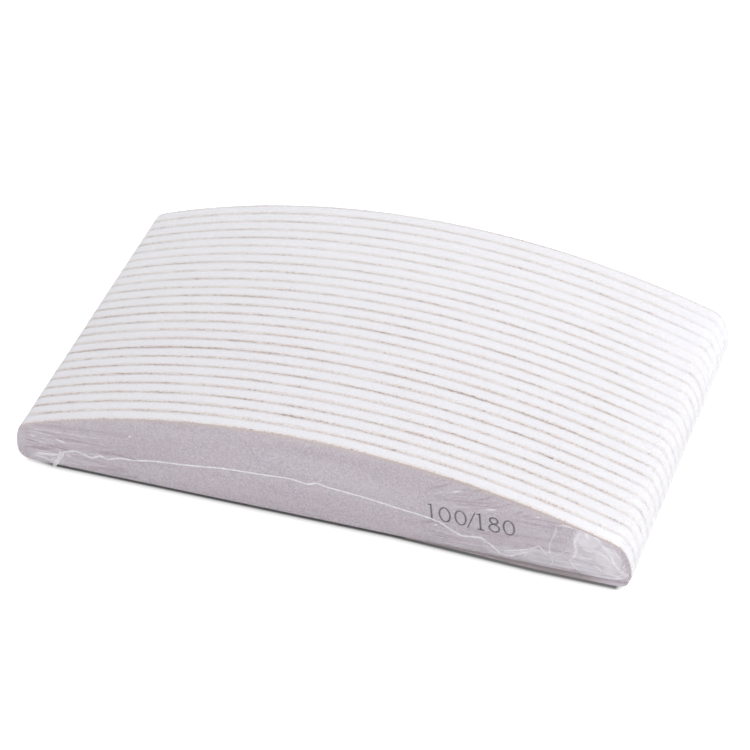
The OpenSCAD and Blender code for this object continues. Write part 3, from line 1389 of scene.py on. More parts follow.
def strand(
    name: str, line: list[Vector], width: float, swell: float, seed: float,
    press: tuple[float, float, float], shares: list[float] | None = None,
) -> Piece:
    """Runs a strand of film along a line.

    Args:
        name: Name of the piece.
        line: Points in millimetres.
        width: Width of the strand before it swells and thins.
        swell: How much of the width comes and goes.
        seed: Moves the swelling.
        press: How the round section is flattened towards the line's first point along X, Y and Z.
        shares: Share of the width at each point, if the strand isn't as wide all along.

    Returns:
        The strand, a closed piece.
    """
    tip, taper, swell_step, same = 0.35, 0.3, 0.45, 0.002
    coarse_round, fine_round = 1, 3
    bpy.ops.mesh.primitive_plane_add(size=MM, location=line[0] * MM)
    piece = bpy.context.object
    piece.name = name
    bpy.ops.object.transform_apply(location=True)
    with editing(piece):
        bpy.ops.mesh.select_all(action="SELECT")
        bpy.ops.mesh.merge(type="CENTER")
        for before, after in zip(line, line[1:]):
            step_by(tuple(after - before))
    take(piece)
    bpy.ops.object.convert(target="CURVE")
    curve = piece.data
    curve.bevel_depth = width / 2 * MM
    curve.bevel_resolution = coarse_round if shares is None else fine_round
    curve.use_fill_caps = True
    points = curve.splines[0].points
    for i, point in enumerate(points):
        from_end = min(i, len(points) - 1 - i)
        share = min(1.0, tip + taper * from_end) if shares is None else shares[i]
        point.radius = share * (1 + swell * noise.noise(Vector((swell_step * i, seed, 0))))
    bpy.ops.object.convert(target="MESH")
    with editing(piece):
        bpy.ops.mesh.select_all(action="SELECT")
        bpy.ops.mesh.remove_doubles(threshold=same * MM)
        bpy.ops.mesh.normals_make_consistent(inside=False)
        bpy.ops.transform.resize(value=press, center_override=line[0] * MM)
    return piece


@dataclass(frozen=True)
class Fold:
    """A crease, streak or painted glint in gathered film: its line, width, height, and how it shows."""

    places: tuple[Place, ...]
    width: float
    # Milky film in the crease; where the fold is short and strong, a painted glint.
    white: float = 0.0
    # A dark streak of painted shade along the crease.
    painted_shade: float = 0.0
    rise: float = 0.15


@dataclass(frozen=True)
class Haze:
    """A patch of doubled film: an oval that veils what is behind it."""

    middle: Place
    half_w: float
    half_h: float
    white: float


@dataclass(frozen=True)
class FanRib:
    """One edge of a fan: where the fine folds start and where they end."""

    low: Place
    high: Place

    def at(self, share: float) -> Vector:
        """Gives the place at a share of the way up the edge."""
        return Vector(self.low).lerp(Vector(self.high), share)


def fine_folds(
    start: FanRib, end: FanRib, count: int, seed: int, strength: float = 1.0, bright: float = 0.55,
) -> list[Fold]:
    """Lays many faint, thin folds between two edges of a fan, as tension pulls them.

    Args:
        start: The edge that the folds start from.
        end: The edge that they run to.
        count: How many folds.
        seed: Makes the same folds each time.
        strength: Scales how much they show.
        bright: Share of the folds that are bright; the rest are dark streaks of painted shade.

    Returns:
        The folds.
    """
    drift, bend, rise, painted_shade_gain = 0.04, 0.25, 0.05, 1.2
    starts, stops, shades, widths = (0.0, 0.35), (0.55, 1.0), (0.10, 0.26), (0.3, 0.75)
    draw = random.Random(seed)
    folds = []
    for i in range(count):
        share = (i + draw.uniform(0.1, 0.9)) / count
        a, b = start.at(share), end.at(min(1.0, max(0.0, share + draw.uniform(-drift, drift))))
        begin, stop = draw.uniform(*starts), draw.uniform(*stops)
        bow = Vector((0, draw.uniform(-bend, bend)))
        along = (begin, (begin + stop) / 2, stop)
        places = tuple(tuple(a.lerp(b, t) + bow * math.sin(math.pi * t)) for t in along)
        shows = strength * draw.uniform(*shades)
        white, painted_shade = (shows, 0.0) if draw.random() < bright else (0.0, painted_shade_gain * shows)
        folds.append(Fold(places, draw.uniform(*widths), white, painted_shade, rise))
    return folds


@dataclass
class Gather:
    """Gathered film on the front face, a fine grid that is creased along given folds."""

    name: str
    low: Place
    high: Place
    folds: tuple[Fold, ...]
    hazes: tuple[Haze, ...]
    outline: HalfMoon
    front_y: float
    finish: bpy.types.Material
    nodes: tuple[str, ...] = ()
    spacing: float = 0.16
    fold_step: float = 0.8
    rest: float = 0.03
    painted_shade_strength: float = 0.85
    faintest: float = 0.012
    densest: float = 0.98
    tallest: float = 0.6
    sink: float = -0.5
    end_share: float = 0.06
    end_power: float = 0.6
    haze_edge: float = 0.35
    side_margin: float = 0.4
    top_margin: float = 0.15
    foot_margin: float = 0.1

    def grid(self) -> Piece:
        """Lays a flat grid over the patch, in front of the film.

        Returns:
            The grid.
        """
        across, up = (self.high[0] - self.low[0]), (self.high[1] - self.low[1])
        middle = Vector((
            (self.low[0] + self.high[0]) / 2, self.front_y - self.rest,
            self.outline.base + (self.low[1] + self.high[1]) / 2,
        ))
        bpy.ops.mesh.primitive_grid_add(
            x_subdivisions=round(across / self.spacing), y_subdivisions=round(up / self.spacing),
            size=MM, location=middle * MM, rotation=(math.pi / 2, 0, 0),
        )
        piece = bpy.context.object
        piece.name = self.name
        bpy.ops.object.transform_apply(location=True, rotation=True)
        with editing(piece):
            bpy.ops.mesh.select_all(action="SELECT")
            bpy.ops.transform.resize(value=(across, 1, up), center_override=middle * MM)
        return piece

    def distance(self, x: np.ndarray, z: np.ndarray, fold: Fold) -> tuple[np.ndarray, np.ndarray]:
        """Measures every point of the grid against the line of a fold.

        Args:
            x: X of the points.
            z: Height of the points above the straight edge.
            fold: The fold.

        Returns:
            The distance to the line, and the share of the line at the nearest place.
        """
        line = smooth_line([Vector((*place, 0)) for place in fold.places], self.fold_step)
        near = np.full(x.shape, np.inf)
        share = np.zeros(x.shape)
        count = len(line) - 1
        for i, (a, b) in enumerate(zip(line, line[1:])):
            dx, dz = b.x - a.x, b.y - a.y
            t = np.clip(((x - a.x) * dx + (z - a.y) * dz) / (dx * dx + dz * dz), 0, 1)
            gap = np.hypot(x - a.x - t * dx, z - a.y - t * dz)
            closer = gap < near
            near[closer] = gap[closer]
            share[closer] = (i + t[closer]) / count
        return near, share

    def creases(self, x: np.ndarray, z: np.ndarray) -> tuple[np.ndarray, np.ndarray, np.ndarray]:
        """Adds up the folds and the hazes.

        Args:
            x: X of the points.
            z: Height of the points above the straight edge.

        Returns:
            How clear each point is of white and of painted shade, and how far the film rises there.
        """
        clear_white, clear_of_painted_shade = np.ones(len(x)), np.ones(len(x))
        rise = np.zeros(len(x))
        for fold in self.folds:
            near, share = self.distance(x, z, fold)
            way = np.pi * (self.end_share + (1 - 2 * self.end_share) * share)
            body = np.exp(-(near / (0.5 * fold.width)) ** 2) * np.sin(way) ** self.end_power
            clear_white *= 1 - np.clip(fold.white * body, 0, self.densest)
            clear_of_painted_shade *= 1 - np.clip(self.painted_shade_strength * fold.painted_shade * body, 0, self.densest)
            rise += fold.rise * body * (1 if fold.white >= fold.painted_shade else self.sink)
        for haze in self.hazes:
            reach = np.hypot((x - haze.middle[0]) / haze.half_w, (z - haze.middle[1]) / haze.half_h)
            edge = np.clip((1 - reach) / self.haze_edge, 0, 1)
            clear_white *= 1 - haze.white * edge * edge * (3 - 2 * edge)
        return clear_white, clear_of_painted_shade, rise

    def beyond(self, x: np.ndarray, z: np.ndarray) -> np.ndarray:
        """Tells which points lie past the edge of the front face.

        Args:
            x: X of the points.
            z: Height of the points above the straight edge.

        Returns:
            True for each point that does.
        """
        half = self.outline.half_length - self.side_margin
        crown = self.outline.crown_height(0) - self.outline.crown_r
        top = crown + np.sqrt(self.outline.crown_r**2 - np.clip(x, -half, half) ** 2) - self.top_margin
        return (z > top) | (np.abs(x) > half) | (z < self.foot_margin)

    def build(self) -> Piece:
        """Creases the grid, stores how it shows and drops what is clear.

        Returns:
            The gathered film.
        """
        piece = self.grid()
        mesh = piece.data
        spots = np.zeros(len(mesh.vertices) * 3)
        mesh.vertices.foreach_get("co", spots)
        spots = spots.reshape(-1, 3)
        x, z = spots[:, 0] / MM, spots[:, 2] / MM - self.outline.base
        clear_white, clear_of_painted_shade, rise = self.creases(x, z)
        veil = 1 - clear_white * clear_of_painted_shade
        tone = (1 - clear_white) / np.maximum(veil, 1e-6)
        spots[:, 1] -= np.clip(rise, 0, self.tallest) * MM
        mesh.vertices.foreach_set("co", spots.ravel())
        for label, values in (("veil", veil), ("tone", tone)):
            mesh.attributes.new(label, "FLOAT", "POINT").data.foreach_set("value", values)
        drop = self.beyond(x, z) | (veil < self.faintest)
        unpick(piece)
        mesh.vertices.foreach_set("select", drop)
        with editing(piece):
            bpy.ops.mesh.delete(type="VERT")
        mesh.materials.append(self.finish)
        return fit_out(piece, Slot.SEAM, self.nodes, smooth_deg=70)


# Places on the front face, (x, z) in millimetres, that the strands and folds of the film run through.

LONG_WELD = (
    (-82.8, 3.3), (-77.1, 4.0), (-74.6, 5.5), (-70.7, 6.9), (-68.4, 6.4), (-65.6, 5.8), (-62.5, 7.2),
    (-60.9, 6.2), (-57.4, 7.7), (-52.5, 8.1), (-46.5, 9.4), (-38.4, 10.3), (-31.8, 11.2),
    (-27.4, 11.9), (-21.2, 12.5), (-14.1, 12.9), (-6.2, 13.5), (-0.8, 12.9), (2.1, 13.9), (5.8, 13.2),
    (16.0, 12.2), (25.4, 10.7), (31.1, 10.0), (35.3, 9.1), (37.5, 8.2), (40.0, 6.5), (42.5, 5.4),
    (45.1, 5.7), (48.0, 6.0), (49.1, 5.2), (50.7, 4.1), (53.4, 1.6), (55.4, 1.4), (58.0, 2.8),
    (61.2, 4.5),
)
WELD_BRANCH = ((53.5, 2.8), (55.2, 3.3), (59.2, 4.7), (62.1, 6.1), (63.8, 7.3), (64.9, 6.5), (66.4, 4.4))
STRAND_RIGHT = ((69.2, 16.6), (68.7, 13.4), (67.1, 9.4), (67.0, 6.5), (67.6, 3.2), (67.0, 0.5))
STRANDS = (
    Bead("weld_main", LONG_WELD, 0.62),
    Bead("weld_branch", WELD_BRANCH, 0.45),
    Bead("weld_cross", ((1.2, 13.4), (2.6, 14.6), (4.2, 15.8)), 0.3),
    Bead("strand_right", STRAND_RIGHT, 0.26),
    Bead("strand_top", ((69.2, 16.6), (71.0, 17.0), (73.1, 17.3)), 0.24),
    Bead("mark_left", ((-67.7, 2.4), (-67.9, 0.4)), 0.3),
    Bead("scratch", ((0.9, 28.2), (-1.2, 24.5)), 0.16, stand_off=0.05),
)

# The roll on the bottom edge: x, how far its top lies above the rim's, and the share of its full width.
ROLL_STOPS = (
    (26.0, 0.0, 0.13), (36.0, 0.0, 0.27), (46.0, 0.0, 0.50), (54.0, 0.0, 0.76), (62.0, 0.0, 0.95),
    (72.0, 0.0, 1.00), (80.0, 0.0, 0.98), (84.0, 0.02, 0.94), (86.4, 0.08, 0.86), (87.7, 0.45, 0.64),
    (88.2, 1.25, 0.40), (88.3, 2.10, 0.22),
)
# The dark folds are painted shade along creases, and the short, strong white ones are painted glints.
FAN_FOLDS = (
    Fold(((-83.5, 14.0), (-68.6, 15.6), (-52.5, 16.9)), 1.1, painted_shade=0.22),
    Fold(((-84.4, 12.6), (-73.5, 11.2), (-64.6, 10.5), (-53.6, 10.1)), 1.0, painted_shade=0.30),
    Fold(((-85.1, 10.6), (-69.6, 10.0), (-60.8, 9.4), (-50.2, 7.9)), 0.8, painted_shade=0.22),
    Fold(((-85.6, 7.9), (-81.2, 7.5)), 0.7, painted_shade=0.42),
    Fold(((-86.2, 4.8), (-78.3, 5.7)), 0.7, painted_shade=0.34),
    Fold(((-85.9, 9.2), (-80.0, 8.9)), 0.5, painted_shade=0.26),
    Fold(((-85.8, 6.4), (-79.5, 6.6), (-75.0, 6.9)), 0.55, painted_shade=0.28),
    Fold(((-76.4, 8.0), (-71.7, 8.2)), 0.9, painted_shade=0.24),
    Fold(((-64.0, 8.3), (-53.8, 8.8)), 1.1, painted_shade=0.20),
    Fold(((-68.0, 1.8), (-54.7, 3.1)), 1.0, painted_shade=0.24),
    Fold(((-61.0, 0.6), (-52.3, 1.4)), 0.8, painted_shade=0.18),
    Fold(((-84.0, 13.2), (-70.0, 12.9), (-56.0, 12.9)), 1.6, white=0.22),
    Fold(((-84.5, 11.4), (-74.0, 9.6), (-60.0, 11.6)), 1.1, white=0.20),
    Fold(((-84.0, 9.9), (-76.0, 9.0), (-66.0, 9.2), (-54.0, 11.3)), 1.2, white=0.22),
    Fold(((-83.5, 12.8), (-80.0, 12.5)), 0.45, white=0.7),
    Fold(((-83.2, 3.0), (-76.9, 3.7)), 0.5, white=0.98, rise=0.25),
    Fold(((-85.6, 1.8), (-79.8, 2.1)), 0.55, white=0.6),
    Fold(((-76.0, 10.3), (-73.2, 9.6)), 0.45, white=0.95),
    Fold(((-83.9, 10.1), (-82.5, 9.5)), 0.55, white=0.8),
    Fold(((-52.9, 17.0), (-52.0, 17.4)), 0.6, white=0.98),
    Fold(((-83.0, 2.4), (-77.0, 2.7), (-70.0, 2.3), (-58.0, 4.3)), 1.4, white=0.22),
    Fold(((-82.0, 1.2), (-76.0, 1.5), (-70.0, 1.0)), 1.0, white=0.25),
    Fold(((-84.6, 2.6), (-80.4, 1.9), (-77.8, 0.4)), 0.5, white=0.6),
    Fold(((-84.0, 4.0), (-79.0, 4.6), (-75.6, 4.4)), 0.45, white=0.5),
    Fold(((-74.0, 5.4), (-73.0, 4.6), (-72.2, 4.9)), 0.9, white=0.6),
    Fold(((-63.6, 7.5), (-61.6, 6.6)), 0.9, white=0.75),
    Fold(((-70.0, 7.4), (-64.0, 7.0), (-58.0, 8.2)), 0.9, white=0.30),
    *fine_folds(FanRib((-86.0, 8.5), (-84.0, 14.2)), FanRib((-52.0, 7.5), (-52.0, 17.2)), 22, 3),
    *fine_folds(FanRib((-86.3, 0.8), (-86.0, 8.0)), FanRib((-52.0, 0.2), (-52.0, 5.8)), 16, 4),
    *fine_folds(FanRib((-86.0, 2.5), (-85.0, 12.5)), FanRib((-76.0, 3.5), (-74.0, 11.0)), 14, 5, 1.4),
)
RIPPLES = (
    Fold(((34.4, 20.5), (37.7, 22.3), (41.0, 24.6)), 0.7, painted_shade=0.28),
    Fold(((38.4, 20.3), (43.3, 22.2), (45.7, 23.6)), 0.6, painted_shade=0.26),
    Fold(((45.3, 21.8), (49.1, 23.9)), 0.7, painted_shade=0.28),
    Fold(((46.5, 19.5), (50.0, 21.0), (52.6, 22.6)), 0.65, painted_shade=0.30),
    Fold(((42.9, 15.2), (47.5, 16.8), (52.9, 18.6), (56.7, 20.8)), 0.6, painted_shade=0.26),
    Fold(((57.6, 17.5), (60.2, 19.0)), 0.65, painted_shade=0.26),
    Fold(((60.1, 17.4), (62.7, 18.4)), 0.65, painted_shade=0.24),
    Fold(((66.7, 15.7), (70.9, 16.3)), 0.7, painted_shade=0.24),
    Fold(((40.9, 21.2), (43.3, 22.2)), 0.5, white=0.98, rise=0.25),
    Fold(((49.8, 17.2), (53.2, 18.0)), 0.5, white=0.98, rise=0.25),
    Fold(((63.5, 18.0), (64.9, 18.6)), 0.5, white=0.95, rise=0.25),
    Fold(((34.7, 7.1), (36.1, 7.8)), 0.45, white=0.98),
    Fold(((59.7, 2.9), (60.3, 3.1)), 0.5, white=0.95),
    Fold(((66.5, 6.0), (67.3, 6.3)), 0.6, white=0.98),
    Fold(((34.4, 3.8), (39.2, 3.1), (46.1, 4.0)), 1.5, painted_shade=0.20),
    Fold(((44.7, 8.3), (52.0, 8.2), (59.5, 9.9), (66.2, 10.4), (72.9, 11.6)), 1.4, painted_shade=0.18),
    Fold(((30.9, 7.5), (34.7, 8.3), (37.5, 7.6)), 1.0, painted_shade=0.20),
    Fold(((33.0, 2.0), (42.0, 1.6), (50.0, 2.0)), 1.8, white=0.14),
    Fold(((38.0, 4.9), (44.0, 4.4), (50.0, 3.2)), 1.0, white=0.16),
    Fold(((42.0, 14.3), (48.0, 15.8), (55.0, 18.0)), 0.9, white=0.16),
    Fold(((36.0, 19.8), (42.0, 21.3)), 0.9, white=0.16),
    Fold(((53.4, 1.7), (57.0, 2.9), (63.0, 5.7)), 1.2, white=0.30),
    Fold(((67.1, 4.2), (69.8, 6.3), (72.8, 8.9)), 0.6, white=0.45),
    *fine_folds(FanRib((36.0, 15.0), (33.0, 20.5)), FanRib((60.0, 18.0), (48.0, 24.6)), 14, 6),
    *fine_folds(FanRib((56.0, 14.0), (56.0, 18.0)), FanRib((74.0, 14.0), (74.0, 17.0)), 8, 7),
    *fine_folds(FanRib((30.0, 0.4), (30.0, 6.5)), FanRib((60.0, 0.3), (60.0, 5.0)), 12, 8),
    *fine_folds(FanRib((56.0, 0.3), (60.0, 8.0)), FanRib((89.0, 1.0), (86.0, 8.5)), 14, 9, 1.3, 0.75),
)
CRUMPLE = (
    Fold(((76.1, 17.2), (74.7, 14.1), (74.0, 11.8), (74.2, 8.0), (72.5, 4.5)), 0.72, white=0.98, rise=0.35),
    Fold(((76.9, 16.2), (77.8, 13.5)), 0.6, white=0.96, rise=0.3),
    Fold(((79.1, 15.6), (81.5, 12.6), (83.5, 9.4), (84.7, 6.3), (87.1, 3.6), (88.4, 3.9)), 0.85,
         white=0.98, rise=0.4),
    Fold(((82.4, 12.3), (84.8, 9.3)), 0.6, white=0.95, rise=0.3),
    Fold(((83.8, 12.0), (86.5, 8.5)), 0.5, white=0.85, rise=0.2),
    Fold(((76.4, 9.9), (80.8, 9.4), (83.8, 6.9)), 0.9, white=0.75, rise=0.2),
    Fold(((78.9, 4.4), (80.0, 3.9), (80.9, 3.0)), 0.5, white=0.98, rise=0.25),
    Fold(((83.0, 6.8), (83.6, 6.6)), 0.6, white=0.98),
    Fold(((76.8, 11.5), (77.4, 11.2)), 0.6, white=0.85),
    Fold(((75.5, 0.8), (84.8, 1.2), (88.0, 3.4)), 0.7, white=0.9, rise=0.25),
    Fold(((70.2, 17.2), (72.0, 17.1), (74.6, 16.5)), 0.6, white=0.9),
    Fold(((72.5, 4.5), (73.5, 2.5), (75.5, 1.0)), 0.5, white=0.75),
    Fold(((74.2, 8.0), (76.5, 6.5), (78.5, 6.8)), 0.5, white=0.7),
    Fold(((77.0, 6.4), (79.4, 4.9)), 0.9, painted_shade=0.40),
    Fold(((81.5, 3.7), (83.4, 2.5)), 0.8, painted_shade=0.30),
    Fold(((78.5, 12.5), (80.5, 10.5)), 1.0, painted_shade=0.16),
    Fold(((85.2, 11.0), (87.3, 8.2)), 1.2, painted_shade=0.16),
    Fold(((84.5, 2.2), (87.5, 2.0)), 0.9, painted_shade=0.20),
    *fine_folds(FanRib((74.5, 8.0), (76.5, 16.5)), FanRib((84.0, 4.0), (84.0, 11.5)), 16, 10, 1.6, 0.8),
    *fine_folds(FanRib((75.0, 1.5), (74.5, 8.0)), FanRib((88.0, 2.2), (87.0, 7.0)), 14, 11, 1.6, 0.75),
    Fold(((82.5, 2.6), (85.2, 2.2), (87.6, 4.2)), 0.5, white=0.9, rise=0.2),
    Fold(((84.0, 4.6), (86.2, 4.0), (87.8, 6.0)), 0.4, white=0.8, rise=0.2),
    Fold(((85.4, 6.6), (86.8, 6.0), (87.6, 7.6)), 0.4, white=0.85, rise=0.15),
)
FAN_HAZE = (
    Haze((-79.5, 2.0), 6.5, 2.6, 0.22),
    Haze((-77.9, 1.0), 1.7, 2.0, 0.35),
    Haze((-70.0, 4.4), 12.0, 3.2, 0.10),
)
CRUMPLE_HAZE = (
    Haze((66.5, 3.0), 9.5, 4.2, 0.40),
    Haze((56.0, 2.6), 8.0, 3.0, 0.30),
    Haze((79.5, 8.2), 9.0, 9.8, 0.40),
    Haze((83.0, 7.8), 4.2, 4.8, 0.32),
    Haze((77.4, 14.2), 4.2, 4.6, 0.55),
    Haze((78.0, 2.0), 9.5, 2.8, 0.20),
    Haze((85.4, 3.4), 4.4, 3.6, 0.34),
)


@dataclass(frozen=True)
class BottomRoll:
    """Slack film that is rolled along the bottom edge of the front, wider towards the right end."""

    width: float = 1.04
    top: float = 0.05
    bulge: float = 2.0
    least: float = 0.05
    swell: float = 0.08
    step: float = 0.8
    seed: float = 5.0

    def model(self, front_y: float, base: float) -> Piece:
        """Models the roll along its stops.

        Args:
            front_y: The outside of the film.
            base: Height of the boards' straight edge.

        Returns:
            The roll, a closed piece.
        """
        middles = [
            Vector((x, front_y, base + self.top + up - share * self.width / 2))
            for x, up, share in ROLL_STOPS
        ]
        path = smooth_line(middles, self.step)
        widths = smooth_line([Vector((x, share, up)) for x, up, share in ROLL_STOPS], self.step)
        ratio = (len(widths) - 1) / (len(path) - 1)
        shares = [max(self.least, widths[round(i * ratio)].y) for i in range(len(path))]
        press = (1, self.bulge, 1)
        return strand("film_roll_right", path, self.width, self.swell, self.seed, press, shares)


@dataclass(frozen=True)
class EndWeld:
    """The weld from front to back across one end: its CAD node, and -1 for left or 1 for right."""

    node: str
    side: int
    waver: float = 0.25
    waver_step: float = 0.6
    count: int = 24
    flat: float = 0.25
    swell: float = 0.35
    step: float = 1.2
    seed_step: float = 3.3

    def model(self) -> Piece:
        """Models the weld where its CAD node is.

        Returns:
            The weld, a closed piece.
        """
        low, high = (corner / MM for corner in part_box(self.node))
        x, z = low.x if self.side > 0 else high.x, (low.z + high.z) / 2
        line = []
        for i in range(self.count + 1):
            wave = self.waver * noise.noise(Vector((self.waver_step * i, self.side, 0)))
            line.append(Vector((x, low.y + (high.y - low.y) * i / self.count, z + wave)))
        width, seed = high.z - low.z, self.seed_step * self.side
        press = ((high.x - low.x) / width * self.flat, 1, 1)
        return strand(f"{self.node}_bead", smooth_line(line, self.step), width, self.swell, seed, press)


@dataclass(frozen=True)
class Tail:
    """The loose tail of film that curls off the weld at the left, clear between its two white edges.

    It hangs from a root just inside the top of its CAD node, and leaves room in it below and in front.
    """

    width: float = 1.7
    root_inset: tuple[float, float, float] = (1.6, 0.15, 0.6)
    drop_room: float = 1.0
    out_room: float = 0.75
    cuts: int = 13
    steps: int = 28
    slant: float = -2.6
    narrowing: float = 0.35
    wave: float = 0.3
    waves: float = 5
    cup: float = 0.25
    middle_veil: float = 0.58
    edge_veil: float = 0.38
    foot_veil: float = 0.4
    foot: float = 0.6

    def strip(self, root: Vector, drop: float, out: float) -> Piece:
        """Spins an edge of film down and outwards from its root.

        Args:
            root: Where the tail starts.
            drop: How far it hangs down.
            out: How far it curls out.

        Returns:
            A strip that is as wide all along.
        """
        curl = 2 * math.atan(out / drop)
        radius = drop / math.sin(curl)
        centre = (root + Vector((0, -radius, 0))) * MM
        bpy.ops.mesh.primitive_plane_add(size=MM, location=root * MM)
        piece = bpy.context.object
        piece.name = "film_tail_curl"
        bpy.ops.object.transform_apply(location=True)
        pick(piece, Pick.VERTEX, lambda at, _: at.y > root.y * MM)
        with editing(piece):
            bpy.ops.mesh.delete(type="VERT")
            bpy.ops.mesh.select_all(action="SELECT")
            bpy.ops.transform.resize(value=(self.width, 1, 1), center_override=root * MM)
            bpy.ops.mesh.subdivide(number_cuts=self.cuts)
            bpy.ops.mesh.spin(steps=self.steps, angle=curl, center=centre, axis=(1, 0, 0))
        return piece

    def model(self) -> Piece:
        """Models the tail, narrower and swaying on its way down, and stores how it shows.

        Returns:
            The tail, an open strip.
        """
        low, high = (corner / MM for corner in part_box("film_tail_left"))
        drop, out = high.z - low.z - self.drop_room, high.y - low.y - self.out_room
        in_x, in_y, in_z = self.root_inset
        root = Vector((high.x - in_x, high.y - in_y, high.z - in_z))
        piece = self.strip(root, drop, out)
        veils = []
        for vertex in piece.data.vertices:
            down = (root.z - vertex.co.z / MM) / drop
            across = (vertex.co.x / MM - root.x) / (self.width / 2)
            edges = self.middle_veil + self.edge_veil * abs(across) ** 2.0
            veils.append(edges + self.foot_veil * max(0.0, down - self.foot))
            half = across * (1 - self.narrowing * down) * self.width / 2
            sway = self.slant * down + self.wave * math.sin(self.waves * down)
            vertex.co.x = (root.x + half + sway) * MM
            vertex.co.y += self.cup * abs(across) ** 2 * MM
        for label, values in (("veil", veils), ("tone", [1.0] * len(veils))):
            piece.data.attributes.new(label, "FLOAT", "POINT").data.foreach_set("value", values)
        return piece


@dataclass(frozen=True)
class Underfold:
    """Film that is folded flat under one end, leaf on leaf, with soft edges and slack."""

    node: str
    leaves: int = 3
    step: float = 1.0
    taper: float = 0.28
    inner_share: float = 0.4
    cuts: int = 6
    soft_share: float = 0.4
    soft_steps: int = 2
    soft_from_deg: float = 50
    slack: Unevenness = Unevenness(wave=9, depth=0.25, direction="Y")
    seed_step: float = 1.7

    def leaf(self, middle: Vector, size: Vector, side: int) -> Piece:
        """Models one leaf, tapered towards the middle of the bundle.

        Args:
            middle: The leaf's middle.
            size: Its size.
            side: -1 for the left end and 1 for the right end.

        Returns:
            The leaf, before its slack.
        """
        bpy.ops.mesh.primitive_cube_add(size=MM, location=middle * MM, scale=size)
        leaf = bpy.context.object
        bpy.ops.object.transform_apply(location=True, scale=True)
        inner = middle.x - side * self.inner_share * size.x
        pick(leaf, Pick.VERTEX, lambda at, _: (at.x / MM - inner) * side < 0)
        with editing(leaf):
            bpy.ops.transform.resize(value=(1, 1 - self.taper, 1), center_override=middle * MM)
            bpy.ops.mesh.select_all(action="SELECT")
            bpy.ops.mesh.subdivide(number_cuts=self.cuts)
        round_off = leaf.modifiers.new("round", "BEVEL")
        round_off.width = self.soft_share * size.z * MM
        round_off.segments = self.soft_steps
        round_off.angle_limit = math.radians(self.soft_from_deg)
        apply_modifier(leaf, round_off)
        return leaf

    def model(self) -> Piece:
        """Lays the leaves on each other where the CAD node is.

        Returns:
            The folded film, one closed shell for each leaf.
        """
        low, high = (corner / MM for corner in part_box(self.node))
        leaf_t = (high.z - low.z) / self.leaves
        side = 1 if low.x > 0 else -1
        made = []
        for i in range(self.leaves):
            inset = i * self.step
            middle = Vector(((low.x + high.x) / 2, 0, high.z - (i + 0.5) * leaf_t))
            size = Vector((high.x - low.x - 2 * inset, high.y - low.y - 2 * inset, leaf_t))
            leaf = self.leaf(middle, size, side)
            self.slack.press(leaf, self.seed_step * i + side, flat_y=False)
            made.append(leaf)
        return join(made, f"{self.node}_leaves")


@dataclass
class ShrinkFilm:
    """The film: its sealed skin, its welds, the loose tail, the folds under it and the gathers."""

    outline: HalfMoon
    finishes: Finishes
    film_t: float = 0.05
    rim_r: float = 0.12
    cut_width: float = 205.0
    cut_length: float = 250.0
    pieces: list[Piece] = field(default_factory=list)

    def __post_init__(self) -> None:
        """Reads the skin's outside from the frame."""
        self.low, self.high = (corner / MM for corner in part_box("film_wrap"))
        self.grow = self.high.x - self.outline.half_length
        self.front_y = self.low.y

    def skin(self) -> Piece:
        """Models the sealed skin, a thin closed wall round the whole bundle.

        Returns:
            The skin.
        """
        crown_steps, steps = 44, 10
        shape = replace(self.outline, grow=self.grow, crown_steps=crown_steps)
        depth = self.high.y - self.low.y
        skin = slab(shape, "film_wrap_skin", [depth / steps] * steps, self.front_y)
        bevel_rims(skin, (self.low.y, self.high.y), self.rim_r)
        wall = skin.modifiers.new("wall", "SOLIDIFY")
        wall.thickness = self.film_t * MM
        wall.offset = -1
        apply_modifier(skin, wall)
        skin.data.materials.append(self.finishes.clear_film)
        return fit_out(skin, Slot.FILM, ("film_wrap",))

    def keep(
        self, piece: Piece, finish: bpy.types.Material, nodes: tuple[str, ...] = (), smooth_deg: float = 60
    ) -> None:
        """Dresses a piece of the film and keeps it with the others.

        Args:
            piece: The piece.
            finish: Its material.
            nodes: CAD nodes that it replaces.
            smooth_deg: Edges flatter than this are shaded smooth.
        """
        piece.data.materials.append(finish)
        self.pieces.append(fit_out(piece, Slot.SEAM, nodes, smooth_deg))

    def long_weld(self, seed_step: float = 7.7) -> Piece:
        """Lays the long weld with its branches, the strands and the marks on the front.

        Args:
            seed_step: Keeps the swelling of one strand apart from the next one's.

        Returns:
            All of them as one piece.
        """
        base = self.outline.base
        made = [bead.model(self.front_y, base, i * seed_step) for i, bead in enumerate(STRANDS)]
        return join(made, "film_long_weld")

    def gathers(self) -> None:
        """Lays the fan of folds at the left, and the ripples and the crumpled end at the right."""
        shared = (self.outline, self.front_y, self.finishes.gather)
        left = Gather(
            "film_fan_left", (-87.5, 0.2), (-49.5, 18.5), FAN_FOLDS, FAN_HAZE, *shared,
            ("film_gather_left",), painted_shade_strength=1.05,
        )
        right = Gather(
            "film_crumple_right", (29.0, 0.2), (88.8, 25.2), RIPPLES + CRUMPLE, CRUMPLE_HAZE, *shared,
            ("film_gather_right",), painted_shade_strength=1.35,
        )
        self.pieces.extend(patch.build() for patch in (left, right))

    def build(self) -> None:
        strip_deg, leaf_deg = 80, 35
        skin = self.skin()
        self.keep(self.long_weld(), self.finishes.weld, ("film_long_seam",))
        self.keep(BottomRoll().model(self.front_y, self.outline.base), self.finishes.roll)
        for side, node in ((-1, "film_end_seam_left"), (1, "film_end_seam_right")):
            self.keep(EndWeld(node, side).model(), self.finishes.end_weld, (node,))
        self.keep(Tail().model(), self.finishes.gather, ("film_tail_left",), strip_deg)
        for node in ("film_underfold_left", "film_underfold_right"):
            self.keep(Underfold(node).model(), self.finishes.fold, (node,), leaf_deg)
        self.gathers()


# The studio.


